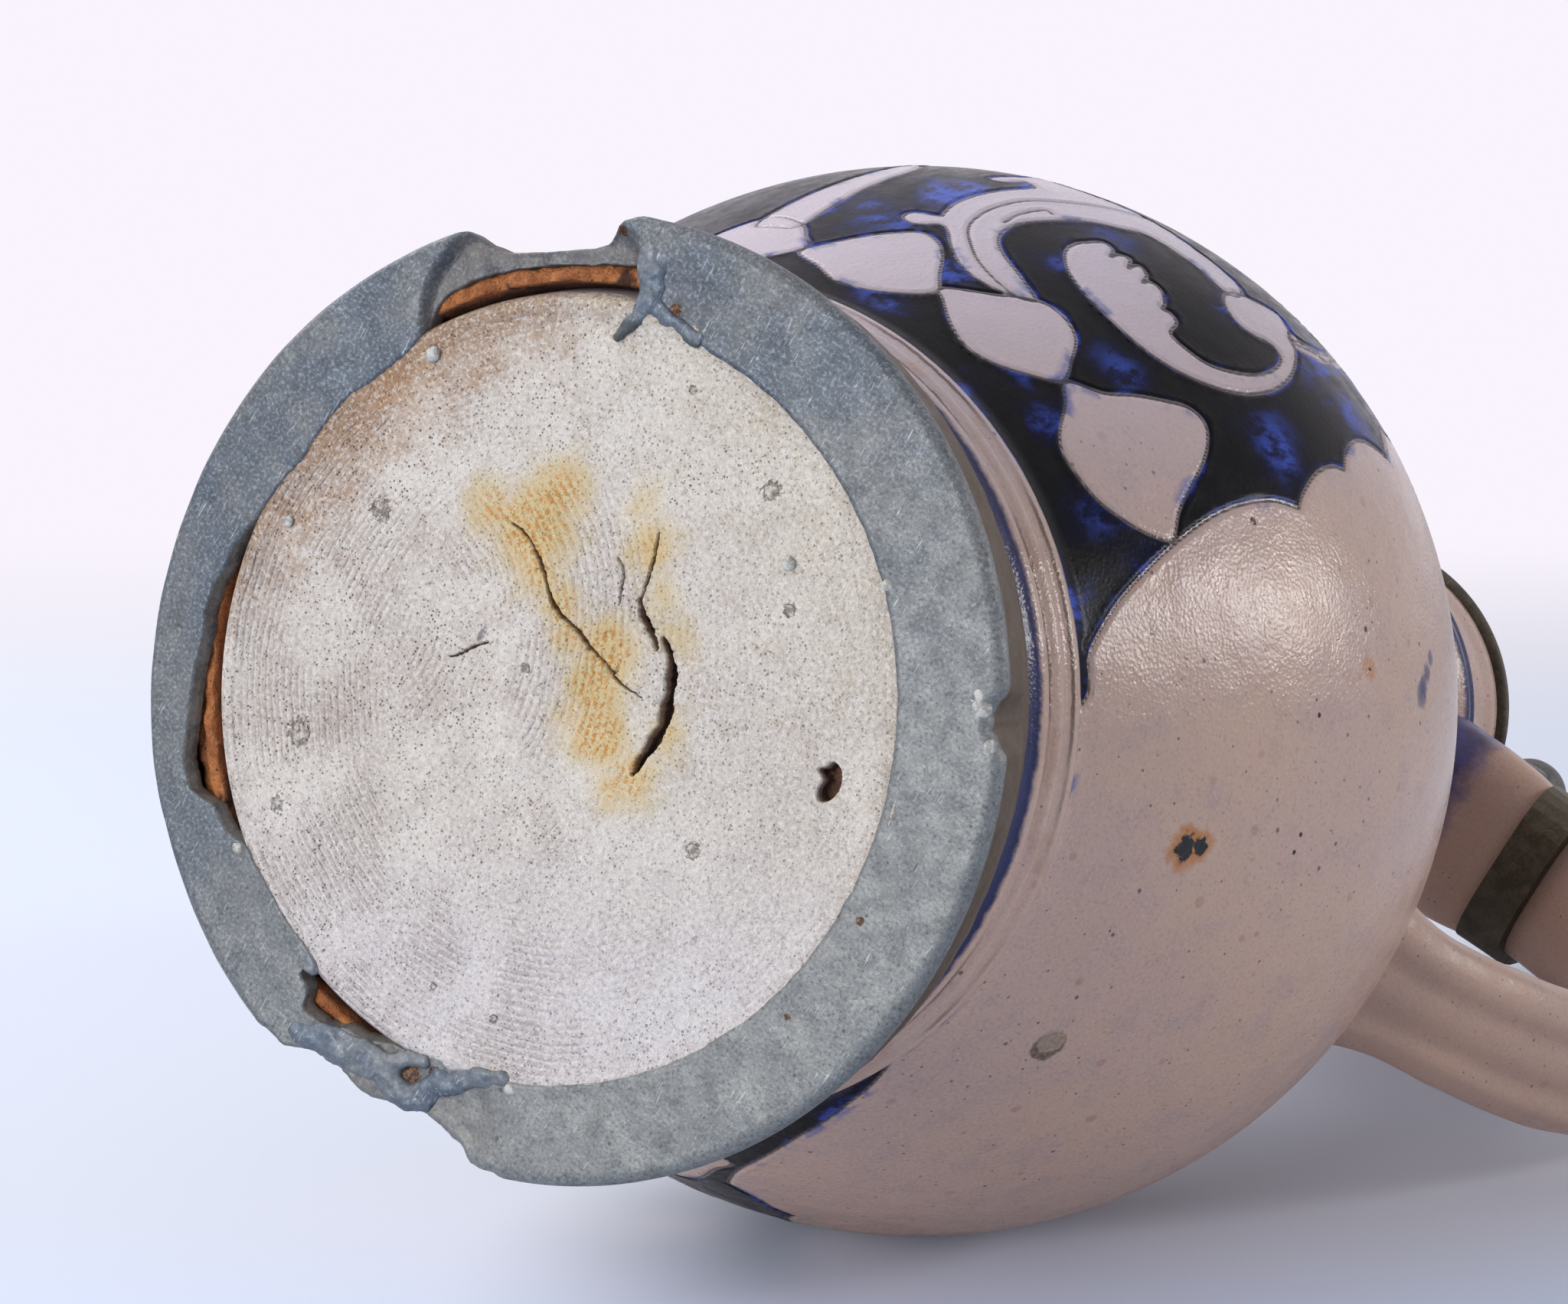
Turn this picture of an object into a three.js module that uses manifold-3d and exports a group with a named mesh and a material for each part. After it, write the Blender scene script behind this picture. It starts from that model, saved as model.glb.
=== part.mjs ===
// Salt-glazed stoneware jug with a narrow neck, a strap handle, a pewter foot skirt and a hinged pewter lid.
// Millimetres, +Z up. The origin is the centre of the base, and the handle points along +X.
import * as THREE from 'three';
import { mergeVertices } from 'three/addons/utils/BufferGeometryUtils.js';
import Module from 'manifold-3d';

const wasm = await Module();
wasm.setup();

// Clearances
const gap = 0.3;             // between pieces that touch on the real jug
const lidGap = 0.4;          // under the closed lid
const pinGap = 0.3;          // round the hinge pin

// Stoneware body
const turns = 48;            // facets round the jug
const baseRadius = 41.5;
const baseChamfer = 2.4;     // trimmed edge of the base
const footRadius = 45.7;     // top of the foot, under the turned grooves
const footHeight = 23.5;
const footTaper = 0.8;       // foot is this much slimmer half way down
const grooveCount = 3;       // rounded rings between the foot and the belly
const groovePitch = 3;
const grooveDepth = 0.7;
const bellyStartRadius = 47.5;
const bellyRadius = 67.4;
const bellyHeight = 95.3;
const shoulderHeight = 190;  // where the shoulder has become the neck
const neckRadius = 28.4;
const lipRadius = 26.4;
const lipHeight = 6;         // thickened lip below the rim
const lipBead = 0.8;         // how far it stands out
const rimRound = 1;
const rimHeight = 262;
const collarRadius = 30.6;   // raised ring that the handle springs from
const collarDrop = 27;       // its middle below the rim
const collarWidth = 11;
const wall = 5.6;
const floorThickness = 8;

// The two curves of the belly's outline: how far their handles reach, as shares of the curve's own width and height
const lowerBellyEase = { width: 0.46, foot: 0.35, belly: 0.355 };
const shoulderEase = { belly: 0.46, neck: 0.4, flare: 2 };

// Strap handle: its middle line, and the strap's size at its two ends
const handleDrop = 3.5;      // middle of its upper root below the middle of the collar
const handleEndHeight = 116;
const handleReach = 88;
const handleTopWidth = 24.5;
const handleEndWidth = 14;
const handleTopThickness = 10;
const handleEndThickness = 8.5;
const handleRidge = 0.9;     // depth of the two grooves along the outer face
const handleSink = 8;        // depth of its lower root in the belly
const handleSteps = 30;
// Middle line between the two roots: shares of the reach beyond the lip, and of the height between the roots
const handleShape = [
  [0.16, 1.017], [0.43, 1.009], [0.74, 0.922], [0.935, 0.766], [1, 0.541], [0.927, 0.32], [0.74, 0.113],
];

// Pewter foot skirt, and the putty that it is bedded in
const skirtRadius = 52;
const skirtEdgeHeight = 3.2; // rolled lower edge
const skirtRoll = 0.8;       // rounding of that edge
const skirtHeight = 21.5;
const skirtTopClearance = 0.5; // between its top and the foot of the body
const skirtWaistRadius = 50.7;
const skirtWaistHeight = 10.9;
const skirtMetal = 1.9;
const skirtLean = new THREE.Vector2(2.1, 0.9); // lower edge off the jug's axis, bent so in use
const skirtPlateReach = 3;   // plate and putty, inside the edge of the base before they are cut to it
const puttyRecess = 0.7;     // lower face of the putty, above the foot plate

// Hinged lid
const lidTurns = 40;
const lidOverhang = 1.2;     // beyond the lip
const lidMetal = 1.8;
const lidRimWidth = 4;
const lidStep = 3.2;         // height of the moulded step
const lidDome = 8.5;         // height of the dome above the step

// Hinge, shank and the strap round the handle
const hingeOffset = 5.4;     // axis beyond the lip
const hingeRise = 3;         // axis above the rim
const knuckleRadius = 3.8;
const barrelLength = 16;
const lidKnuckleLength = 5.6;
const pinRadius = 1.3;
const pinHead = 0.7;
const shankMetal = 3.4;
const bandFrom = 0.115;      // stretch of the handle that the pewter strap covers, as a share of its length
const bandTo = 0.165;
const bandMetal = 1.7;

// Thumbpiece
const thumbStemRadius = 2.1;
const thumbStemHeight = 15;
const thumbBallRadius = 6.2;

const collarHeight = rimHeight - collarDrop;
const handleRootHeight = collarHeight - handleDrop;
const point = (r, z) => new THREE.Vector2(r, z);

// Solids

function solid(geometry) {
  const bare = geometry.clone();
  for (const name of Object.keys(bare.attributes)) {
    if (name !== 'position') bare.deleteAttribute(name);
  }
  const merged = mergeVertices(bare, 1e-4);
  const corners = merged.index.array;
  const kept = [];
  for (let i = 0; i < corners.length; i += 3) {
    const [a, b, c] = [corners[i], corners[i + 1], corners[i + 2]];
    if (a !== b && b !== c && c !== a) kept.push(a, b, c);
  }
  return new wasm.Manifold(new wasm.Mesh({
    numProp: 3,
    vertProperties: new Float32Array(merged.attributes.position.array),
    triVerts: new Uint32Array(kept),
  }));
}

function geometryOf(manifold) {
  const mesh = manifold.getMesh();
  const geometry = new THREE.BufferGeometry();
  geometry.setAttribute('position', new THREE.BufferAttribute(new Float32Array(mesh.vertProperties), 3));
  geometry.setIndex(new THREE.BufferAttribute(new Uint32Array(mesh.triVerts), 1));
  geometry.computeVertexNormals();
  return geometry;
}

// A profile of (radius, height) points turned round the Z axis
function revolve(profile, segments = turns) {
  return new THREE.LatheGeometry(profile, segments).rotateX(Math.PI / 2);
}

// A cylinder along Y, centred on (x, z)
function barrel(radius, length, x, z, segments = 24) {
  return new THREE.CylinderGeometry(radius, radius, length, segments).translate(x, 0, z);
}

// A flat outline in the XZ plane, given a width along Y and centred on it
function plate(outline, width) {
  const depth = { depth: width, bevelEnabled: false, curveSegments: 8 };
  return new THREE.ExtrudeGeometry(outline, depth).rotateX(Math.PI / 2).translate(0, width / 2, 0);
}

// Rings of points joined into one closed skin, capped at both ends
function loft(rings) {
  const count = rings[0].length;
  const positions = rings.flat().flatMap((p) => [p.x, p.y, p.z]);
  const index = [];
  for (let ring = 0; ring < rings.length - 1; ring += 1) {
    for (let i = 0; i < count; i += 1) {
      const a = ring * count + i;
      const b = ring * count + (i + 1) % count;
      index.push(a, b, a + count, b, b + count, a + count);
    }
  }
  for (const [ring, flip] of [[0, false], [rings.length - 1, true]]) {
    const middle = positions.length / 3;
    const centre = new THREE.Vector3();
    rings[ring].forEach((p) => centre.addScaledVector(p, 1 / count));
    positions.push(centre.x, centre.y, centre.z);
    for (let i = 0; i < count; i += 1) {
      const a = ring * count + i;
      const b = ring * count + (i + 1) % count;
      if (flip) index.push(middle, a, b);
      else index.push(middle, b, a);
    }
  }
  const geometry = new THREE.BufferGeometry();
  geometry.setAttribute('position', new THREE.Float32BufferAttribute(positions, 3));
  geometry.setIndex(index);
  return geometry;
}

// Stoneware body

const bellyStartHeight = footHeight + grooveCount * groovePitch;
const lowerBellyWidth = bellyRadius - bellyStartRadius;
const lowerBellyRise = bellyHeight - bellyStartHeight;
const shoulderRise = shoulderHeight - bellyHeight;
const lowerBelly = new THREE.CubicBezierCurve(
  point(bellyStartRadius, bellyStartHeight),
  point(bellyStartRadius + lowerBellyWidth * lowerBellyEase.width, bellyStartHeight + lowerBellyRise * lowerBellyEase.foot),
  point(bellyRadius, bellyHeight - lowerBellyRise * lowerBellyEase.belly),
  point(bellyRadius, bellyHeight),
);
const shoulder = new THREE.CubicBezierCurve(
  point(bellyRadius, bellyHeight),
  point(bellyRadius, bellyHeight + shoulderRise * shoulderEase.belly),
  point(neckRadius + shoulderEase.flare, shoulderHeight - shoulderRise * shoulderEase.neck),
  point(neckRadius, shoulderHeight),
);

// Points of a curve moved sideways by a distance, outwards where it is positive
function beside(curve, steps, distance) {
  return Array.from({ length: steps + 1 }, (_, i) => {
    const along = curve.getTangent(i / steps);
    return curve.getPoint(i / steps).add(point(along.y, -along.x).multiplyScalar(distance));
  });
}

function grooves() {
  const rings = [];
  const rise = (bellyStartRadius - footRadius) / grooveCount;
  for (let ring = 0; ring < grooveCount; ring += 1) {
    for (const share of [0, 0.25, 0.5, 0.75]) {
      const swell = Math.sin(Math.PI * share) * grooveDepth;
      rings.push(point(footRadius + rise * (ring + share) + swell, footHeight + groovePitch * (ring + share)));
    }
  }
  return rings;
}

function collar(steps = 6) {
  return Array.from({ length: steps + 1 }, (_, i) => {
    const share = i / steps;
    const swell = Math.sin(Math.PI * share) ** 1.5;
    const radius = THREE.MathUtils.lerp(neckRadius, lipRadius, share) * (1 - swell) + collarRadius * swell;
    return point(radius, collarHeight + collarWidth * (share - 0.5));
  });
}

// The outside of the body from the base up, grown by a clearance
function outside(grow = 0) {
  return [
    point(baseRadius + grow, -grow),
    point(baseRadius + baseChamfer + grow, baseChamfer),
    point(footRadius - footTaper + grow, footHeight / 2),
    ...grooves().map((p) => point(p.x + grow, p.y)),
    ...beside(lowerBelly, 10, grow),
    ...beside(shoulder, 12, grow).slice(1),
    ...collar().map((p) => point(p.x + grow, p.y)),
    point(lipRadius - lipBead + grow, rimHeight - lipHeight),
    point(lipRadius + grow, rimHeight - lipHeight / 2),
    point(lipRadius + grow, rimHeight - rimRound),
    point(lipRadius - rimRound + grow, rimHeight + grow),
  ];
}

function jugBody() {
  const mouth = lipRadius - wall;
  const cavityFoot = beside(lowerBelly, 8, -wall)[0];
  const floorCurve = new THREE.QuadraticBezierCurve(
    cavityFoot,
    point(cavityFoot.x * 0.92, floorThickness),
    point(cavityFoot.x * 0.62, floorThickness),
  );
  return revolve([
    point(0, 0),
    ...outside(),
    point(mouth + rimRound, rimHeight),
    point(mouth, rimHeight - rimRound),
    point(mouth, collarHeight),
    ...beside(shoulder, 10, -wall).reverse(),
    ...beside(lowerBelly, 8, -wall).reverse().slice(1),
    ...floorCurve.getPoints(4).slice(1),
    point(0, floorThickness),
  ]);
}

const bodyClearance = solid(revolve([point(0, -gap), ...outside(gap), point(0, rimHeight + gap)]));

// Handle

const handlePath = new THREE.CatmullRomCurve3([
  [lipRadius - wall / 2, handleRootHeight],
  ...handleShape.map(([out, up]) => [
    THREE.MathUtils.lerp(lipRadius, handleReach, out),
    THREE.MathUtils.lerp(handleEndHeight, handleRootHeight, up),
  ]),
  [bellyRadius - handleSink, handleEndHeight],
].map(([x, z]) => new THREE.Vector3(x, 0, z)), false, 'centripetal');

// The strap's outline at a share of the handle's length, grown by a clearance
function handleRing(share, grow = 0) {
  const width = THREE.MathUtils.lerp(handleTopWidth, handleEndWidth, share) / 2 + grow;
  const thickness = THREE.MathUtils.lerp(handleTopThickness, handleEndThickness, share) / 2 + grow;
  const middle = handlePath.getPointAt(share);
  const along = handlePath.getTangentAt(share);
  const outwards = new THREE.Vector3(-along.z, 0, along.x);
  const count = 24;
  return Array.from({ length: count }, (_, i) => {
    const angle = (2 * Math.PI * (i + 0.5)) / count;
    const across = Math.sign(Math.cos(angle)) * Math.abs(Math.cos(angle)) ** 0.6 * width;
    const swell = Math.sign(Math.sin(angle)) * Math.abs(Math.sin(angle)) ** 0.7 * thickness;
    const onOuterFace = Math.sin(angle) > 0.35 && grow === 0;
    const ridge = onOuterFace ? handleRidge * (1 - Math.cos((3 * Math.PI * across) / width)) / 2 : 0;
    return middle.clone().addScaledVector(outwards, swell - ridge).add(new THREE.Vector3(0, across, 0));
  });
}

function handleStretch(from, to, steps, grow = 0) {
  const shares = Array.from({ length: steps + 1 }, (_, i) => from + (to - from) * (i / steps));
  return solid(loft(shares.map((share) => handleRing(share, grow))));
}

function handle() {
  return geometryOf(handleStretch(0, 1, handleSteps).subtract(bodyClearance));
}

// Pewter foot skirt and its bedding

// A flat outline of (degrees, radius) corners round the jug's axis, cut from one height to another
function wedge(corners, from, to) {
  const outline = new THREE.Shape(corners.map(([degrees, radius]) => {
    const angle = THREE.MathUtils.degToRad(degrees);
    return point(radius * Math.cos(angle), radius * Math.sin(angle));
  }));
  const depth = { depth: to - from, bevelEnabled: false };
  return solid(new THREE.ExtrudeGeometry(outline, depth).translate(0, 0, from));
}

// Moves a turned piece sideways, all of the lean at the base and none at the top of the skirt
function lean(geometry) {
  const positions = geometry.attributes.position;
  for (let i = 0; i < positions.count; i += 1) {
    const share = 1 - positions.getZ(i) / skirtHeight;
    positions.setX(i, positions.getX(i) + skirtLean.x * share);
    positions.setY(i, positions.getY(i) + skirtLean.y * share);
  }
  return geometry;
}

const skirtTopRadius = footRadius + skirtTopClearance;

// The skirt's outer face, from the rolled edge up, moved inwards by a depth
function skirtFace(inwards) {
  return [
    point(skirtRadius - inwards, skirtEdgeHeight - skirtRoll),
    point(skirtRadius - skirtRoll - inwards, skirtEdgeHeight + skirtRoll / 2),
    point(skirtWaistRadius - inwards, skirtWaistHeight),
    point(skirtWaistRadius - 1.6 - inwards, (skirtWaistHeight + skirtHeight) / 2),
  ];
}

// Places where the skirt is broken away, as the corners of each bite
const missingPlate = [[-144, 40], [-140, 47], [-136, 54], [-115, 54], [-112, 47], [-108, 40]];
const tornInnerEdge = [[-166, 40], [-172, 44.6], [178, 44.2], [166, 45.4], [148, 45.2], [130, 44], [126, 40]];
const lowerGap = [[106, 40], [102, 44.6], [93, 45.2], [85, 43.8], [82, 40]];
const outerBite = [[100, 56], [97, 51.4], [91, 51], [86, 50], [79, 48.4], [73, 49.6], [68, 56]];

function footSkirt() {
  const below = -1;
  const innerFace = skirtFace(skirtMetal).reverse();
  const ring = solid(lean(revolve([
    point(baseRadius - skirtPlateReach, 0),
    point(skirtRadius - skirtRoll, 0),
    point(skirtRadius, skirtRoll),
    ...skirtFace(0),
    point(skirtTopRadius + skirtMetal - 0.4, skirtHeight),
    point(skirtTopRadius, skirtHeight),
    point(skirtTopRadius, skirtHeight - 2.2),
    ...innerFace.slice(0, -1),
    point(skirtRadius - skirtMetal - 0.6, skirtMetal),
    point(baseRadius - skirtPlateReach, skirtMetal),
    point(baseRadius - skirtPlateReach, 0),
  ])));
  return geometryOf(ring
    .subtract(bodyClearance)
    .subtract(wedge(missingPlate, below, skirtEdgeHeight + gap))
    .subtract(wedge(tornInnerEdge, below, skirtMetal + 1))
    .subtract(wedge(lowerGap, below, skirtMetal + 1))
    .subtract(wedge(outerBite, below, skirtEdgeHeight + 2 * skirtRoll)));
}

function footBedding() {
  const seat = skirtMetal + gap;
  const filling = solid(lean(revolve([
    point(baseRadius - skirtPlateReach, seat + puttyRecess),
    point(skirtRadius - skirtMetal - 1.5, seat + puttyRecess),
    ...skirtFace(skirtMetal + gap + 0.1).slice(1),
    point(baseRadius - skirtPlateReach, (skirtWaistHeight + skirtHeight) / 2),
    point(baseRadius - skirtPlateReach, seat + puttyRecess),
  ])));
  return geometryOf(filling.subtract(bodyClearance));
}

// Lid

const lidRadius = lipRadius + lidOverhang;
const lidSeat = rimHeight + lidGap;
const lidStepRadius = lidRadius - lidRimWidth;

function lidTop(grow = 0) {
  const dome = new THREE.QuadraticBezierCurve(
    point(lidStepRadius - 1.5, lidSeat + lidMetal + lidStep),
    point(lidStepRadius * 0.55, lidSeat + lidMetal + lidStep + lidDome),
    point(0, lidSeat + lidMetal + lidStep + lidDome),
  );
  return [
    point(lidRadius + grow, lidSeat + lidMetal * 0.6),
    point(lidRadius - 0.6 + grow, lidSeat + lidMetal + grow),
    point(lidStepRadius + 0.6 + grow, lidSeat + lidMetal + 0.4 + grow),
    point(lidStepRadius + grow, lidSeat + lidMetal + lidStep - 0.8 + grow),
    ...dome.getPoints(7).map((p) => point(p.x, p.y + grow)),
  ];
}

function lidCover() {
  const hollow = lidTop(0).slice(3).reverse();
  return revolve([
    point(0, hollow[0].y - lidMetal),
    ...hollow.slice(1, -2).map((p) => point(p.x - lidMetal / 3, p.y - lidMetal)),
    point(lidStepRadius - lidMetal, lidSeat + 0.8),
    point(lidStepRadius - lidMetal + 0.6, lidSeat),
    point(lidRadius - 0.4, lidSeat),
    ...lidTop(0),
  ], lidTurns);
}

// Hinge

const hingeX = lipRadius + hingeOffset;
const hingeZ = rimHeight + hingeRise;
const tongueTop = hingeZ + knuckleRadius + 2.4;
const stemX = hingeX - 5;
const thumbFootRadius = thumbStemRadius + 1.1;

function hingeBore(length) {
  return solid(barrel(pinRadius + pinGap, length, hingeX, hingeZ));
}

// The lid's tongue: a strap over the edge of the lid, with the middle knuckle at its end
function lidTongue() {
  const foot = lidStepRadius - 8;
  const outline = new THREE.Shape([
    point(foot, lidSeat + lidMetal),
    point(hingeX - 1.5, lidSeat + lidMetal),
    point(hingeX, hingeZ),
    point(hingeX + 1, tongueTop - 1.6),
    point(stemX + thumbFootRadius, tongueTop),
    point(stemX - thumbFootRadius - gap, tongueTop),
    point(foot + 3, tongueTop + 4),
    point(foot, tongueTop + 3.2),
  ]);
  const cover = solid(revolve([
    point(0, lidSeat - 1),
    point(lidRadius + gap, lidSeat - 1),
    ...lidTop(gap),
  ], lidTurns));
  const strap = solid(plate(outline, lidKnuckleLength));
  const knuckle = solid(barrel(knuckleRadius, lidKnuckleLength, hingeX, hingeZ));
  return geometryOf(strap.add(knuckle).subtract(cover).subtract(hingeBore(barrelLength)));
}

function thumbpiece() {
  const foot = tongueTop + gap;
  const waist = foot + thumbStemHeight;
  const ball = Array.from({ length: 9 }, (_, i) => {
    const angle = -1.2 + (i / 8) * (Math.PI / 2 + 1.2);
    return point(thumbBallRadius * Math.cos(angle), waist + thumbBallRadius * (0.93 + Math.sin(angle)));
  });
  ball[8].x = 0;
  const turned = revolve([
    point(0, foot),
    point(thumbFootRadius, foot),
    point(thumbFootRadius, foot + 1.5),
    point(thumbStemRadius, foot + 4),
    point(thumbStemRadius - 0.4, waist - 3),
    point(thumbStemRadius + 1, waist - 1.6),
    ...ball,
  ], 20);
  return turned.translate(stemX, 0, 0);
}

function hingePin() {
  const half = barrelLength / 2 + gap;
  const profile = [
    point(0, -half - pinHead),
    point(pinRadius + 0.9, -half - pinHead),
    point(pinRadius + 0.9, -half),
    point(pinRadius, -half),
    point(pinRadius, half),
    point(pinRadius + 0.9, half),
    point(pinRadius + 0.9, half + pinHead),
    point(0, half + pinHead),
  ];
  return new THREE.LatheGeometry(profile, 20).translate(hingeX, 0, hingeZ);
}

const bandMiddle = handlePath.getPointAt((bandFrom + bandTo) / 2);
const bandTop = bandMiddle.z + handleTopThickness / 2 + gap + bandMetal;

function handleBand() {
  const metal = handleStretch(bandFrom, bandTo, 4, gap + bandMetal);
  const hole = handleStretch(bandFrom - 0.02, bandTo + 0.02, 6, gap);
  return geometryOf(metal.subtract(hole).subtract(bodyClearance));
}

// The shank: stands on the strap, leans to the rim and carries the outer knuckles
function hingeShank() {
  const rise = hingeZ - bandTop;
  const spine = new THREE.CubicBezierCurve(
    point(bandMiddle.x + shankMetal * 1.3, bandTop + gap * 2),
    point(bandMiddle.x - shankMetal * 1.8, bandTop + rise * 0.06),
    point(hingeX + knuckleRadius * 1.45, hingeZ - rise * 0.6),
    point(hingeX, hingeZ),
  );
  const steps = 9;
  const outer = beside(spine, steps, shankMetal / 2);
  const inner = beside(spine, steps, -shankMetal / 2);
  const arm = solid(plate(new THREE.Shape([...inner, ...outer.reverse()]), barrelLength));
  const knuckles = solid(barrel(knuckleRadius, barrelLength, hingeX, hingeZ));
  const slot = solid(barrel(knuckleRadius + 1.2, lidKnuckleLength + 2 * gap, hingeX, hingeZ));
  return geometryOf(arm
    .add(knuckles)
    .subtract(slot)
    .subtract(hingeBore(barrelLength + 1))
    .subtract(handleStretch(bandFrom - 0.04, bandTo + 0.04, 8, 2 * gap + bandMetal)));
}

// The jug

const stoneware = { color: 0xb3a79f, roughness: 0.38, metalness: 0 };
const pewter = { color: 0x7d8488, roughness: 0.45, metalness: 0.85 };
const putty = { color: 0xb07846, roughness: 0.9, metalness: 0 };

const pieces = [
  ['jug_body', jugBody(), stoneware],
  ['handle', handle(), stoneware],
  ['foot_skirt', footSkirt(), pewter],
  ['foot_bedding', footBedding(), putty],
  ['handle_band', handleBand(), pewter],
  ['hinge_shank', hingeShank(), pewter],
  ['hinge_pin', hingePin(), pewter],
];
const lidPieces = [
  ['lid_cover', lidCover(), pewter],
  ['lid_tongue', lidTongue(), pewter],
  ['thumbpiece', thumbpiece(), pewter],
];

function meshOf([name, geometry, look]) {
  const mesh = new THREE.Mesh(geometry, new THREE.MeshStandardMaterial(look));
  mesh.name = name;
  return mesh;
}

const jug = new THREE.Group();
jug.add(...pieces.map(meshOf));
const lid = new THREE.Group();
lid.add(...lidPieces.map(meshOf));
jug.add(lid);

export default jug;
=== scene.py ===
# Salt-glazed stoneware jug with a pewter foot skirt and lid, seen from below its base
import math

import bmesh
import bpy
import numpy as np
from mathutils import Matrix, Vector, noise


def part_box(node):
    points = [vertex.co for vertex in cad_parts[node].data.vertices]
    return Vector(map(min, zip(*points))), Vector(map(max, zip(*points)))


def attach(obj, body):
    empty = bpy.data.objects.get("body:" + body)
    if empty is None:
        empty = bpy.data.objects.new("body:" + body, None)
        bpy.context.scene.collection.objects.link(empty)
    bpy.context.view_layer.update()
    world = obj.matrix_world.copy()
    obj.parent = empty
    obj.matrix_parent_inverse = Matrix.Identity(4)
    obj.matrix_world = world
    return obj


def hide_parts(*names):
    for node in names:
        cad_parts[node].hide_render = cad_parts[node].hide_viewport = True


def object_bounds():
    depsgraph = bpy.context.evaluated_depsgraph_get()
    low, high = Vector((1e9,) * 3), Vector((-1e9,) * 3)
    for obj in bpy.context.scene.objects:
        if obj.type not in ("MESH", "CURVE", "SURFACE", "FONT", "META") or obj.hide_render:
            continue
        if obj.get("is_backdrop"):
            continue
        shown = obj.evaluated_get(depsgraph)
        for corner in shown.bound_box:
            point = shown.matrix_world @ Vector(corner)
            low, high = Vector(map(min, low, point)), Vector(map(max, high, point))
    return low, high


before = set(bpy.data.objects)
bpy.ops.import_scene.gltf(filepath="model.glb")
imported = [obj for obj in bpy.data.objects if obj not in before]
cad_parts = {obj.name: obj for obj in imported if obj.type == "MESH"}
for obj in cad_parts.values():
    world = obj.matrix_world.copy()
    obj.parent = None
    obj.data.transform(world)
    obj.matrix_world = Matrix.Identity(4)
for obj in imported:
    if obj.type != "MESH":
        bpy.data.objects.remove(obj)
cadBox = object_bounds()
mm = 0.001
print("frame loaded")


# Camera, from the circles of the foot, belly and neck in the photograph

camera = {
    "imageSize": (2048, 1703),
    "focalPixels": 5520.8,
    "sensorWidth": 36,
    "farthest": 20,  # m
    "place": (185.85, -117.8, -393.53),  # mm, in the jug's frame
    "right": (0.7508, -0.4932, 0.4393),
    "up": (-0.5423, -0.84, -0.0163),
}


def cameraTurn():
    right = Vector(camera["right"]).normalized()
    up = Vector(camera["up"])
    up = (up - right * up.dot(right)).normalized()
    return Matrix((right, up, right.cross(up))).transposed()


def placed(name, data):  # a new object in the scene
    thing = bpy.data.objects.new(name, data)
    bpy.context.collection.objects.link(thing)
    return thing


def makeCamera():
    data = bpy.data.cameras.new("photoCamera")
    data.sensor_width = camera["sensorWidth"]
    data.lens = camera["focalPixels"] / camera["imageSize"][0] * camera["sensorWidth"]
    data.clip_end = camera["farthest"]
    eye = placed("photoCamera", data)
    eye.matrix_world = Matrix.Translation(Vector(camera["place"]) * mm) @ cameraTurn().to_4x4()
    bpy.context.scene.camera = eye


def photoRay(x, y):
    wide, high = camera["imageSize"]
    focal = camera["focalPixels"]
    return cameraTurn() @ Vector(((x - wide / 2) / focal, (high / 2 - y) / focal, -1))


makeCamera()
print("camera placed")


# The table's place, which is also where the jug's upper side comes from

stage = {
    "down": (0.4845, 0.863, 0.141),
    "drop": 81.2,  # from the jug's origin down to the table, mm
    "size": 4000,
    "edge": 745,  # where the table ends behind the jug, mm from its origin
    # linear colours; each pair is far from the camera, then near it
    "cloth": [(0.77, 0.81, 0.93), (0.7, 0.79, 0.99)],
    "glow": [(0.046, 0.049, 0.056), (0.042, 0.1, 0.24)],
    "farCloth": (0.86, 0.85, 0.88),
    "ambient": ((0.82, 0.89, 1), 0.29),  # colour and strength of the light from all round
    "backdrop": (0.945, 0.9, 0.985),
}


# Material tools

class Wire:  # a value on its way through a material
    def __init__(self, board, socket):
        self.board = board
        self.socket = socket

    def maths(self, operation, *values):
        return self.board.node("ShaderNodeMath", {"operation": operation}, values)

    def ease(self, low, high, start=0, end=1):  # start at low, end at high, smooth between
        settings = {"interpolation_type": "SMOOTHSTEP", "clamp": True}
        values = {"Value": self, "From Min": low, "From Max": high, "To Min": start, "To Max": end}
        return self.board.node("ShaderNodeMapRange", settings, values)


operators = {"add": "ADD", "sub": "SUBTRACT", "mul": "MULTIPLY", "truediv": "DIVIDE"}
methods = {"power": "POWER", "size": "ABSOLUTE", "wave": "SINE", "least": "MINIMUM", "most": "MAXIMUM"}
for name, kind in operators.items():  # each with its reflected form, so that 1 - mask works
    setattr(Wire, f"__{name}__", lambda self, other, kind=kind: self.maths(kind, self, other))
    setattr(Wire, f"__r{name}__", lambda self, other, kind=kind: self.maths(kind, other, self))
for name, kind in methods.items():
    setattr(Wire, name, lambda self, *others, kind=kind: self.maths(kind, self, *others))


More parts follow.
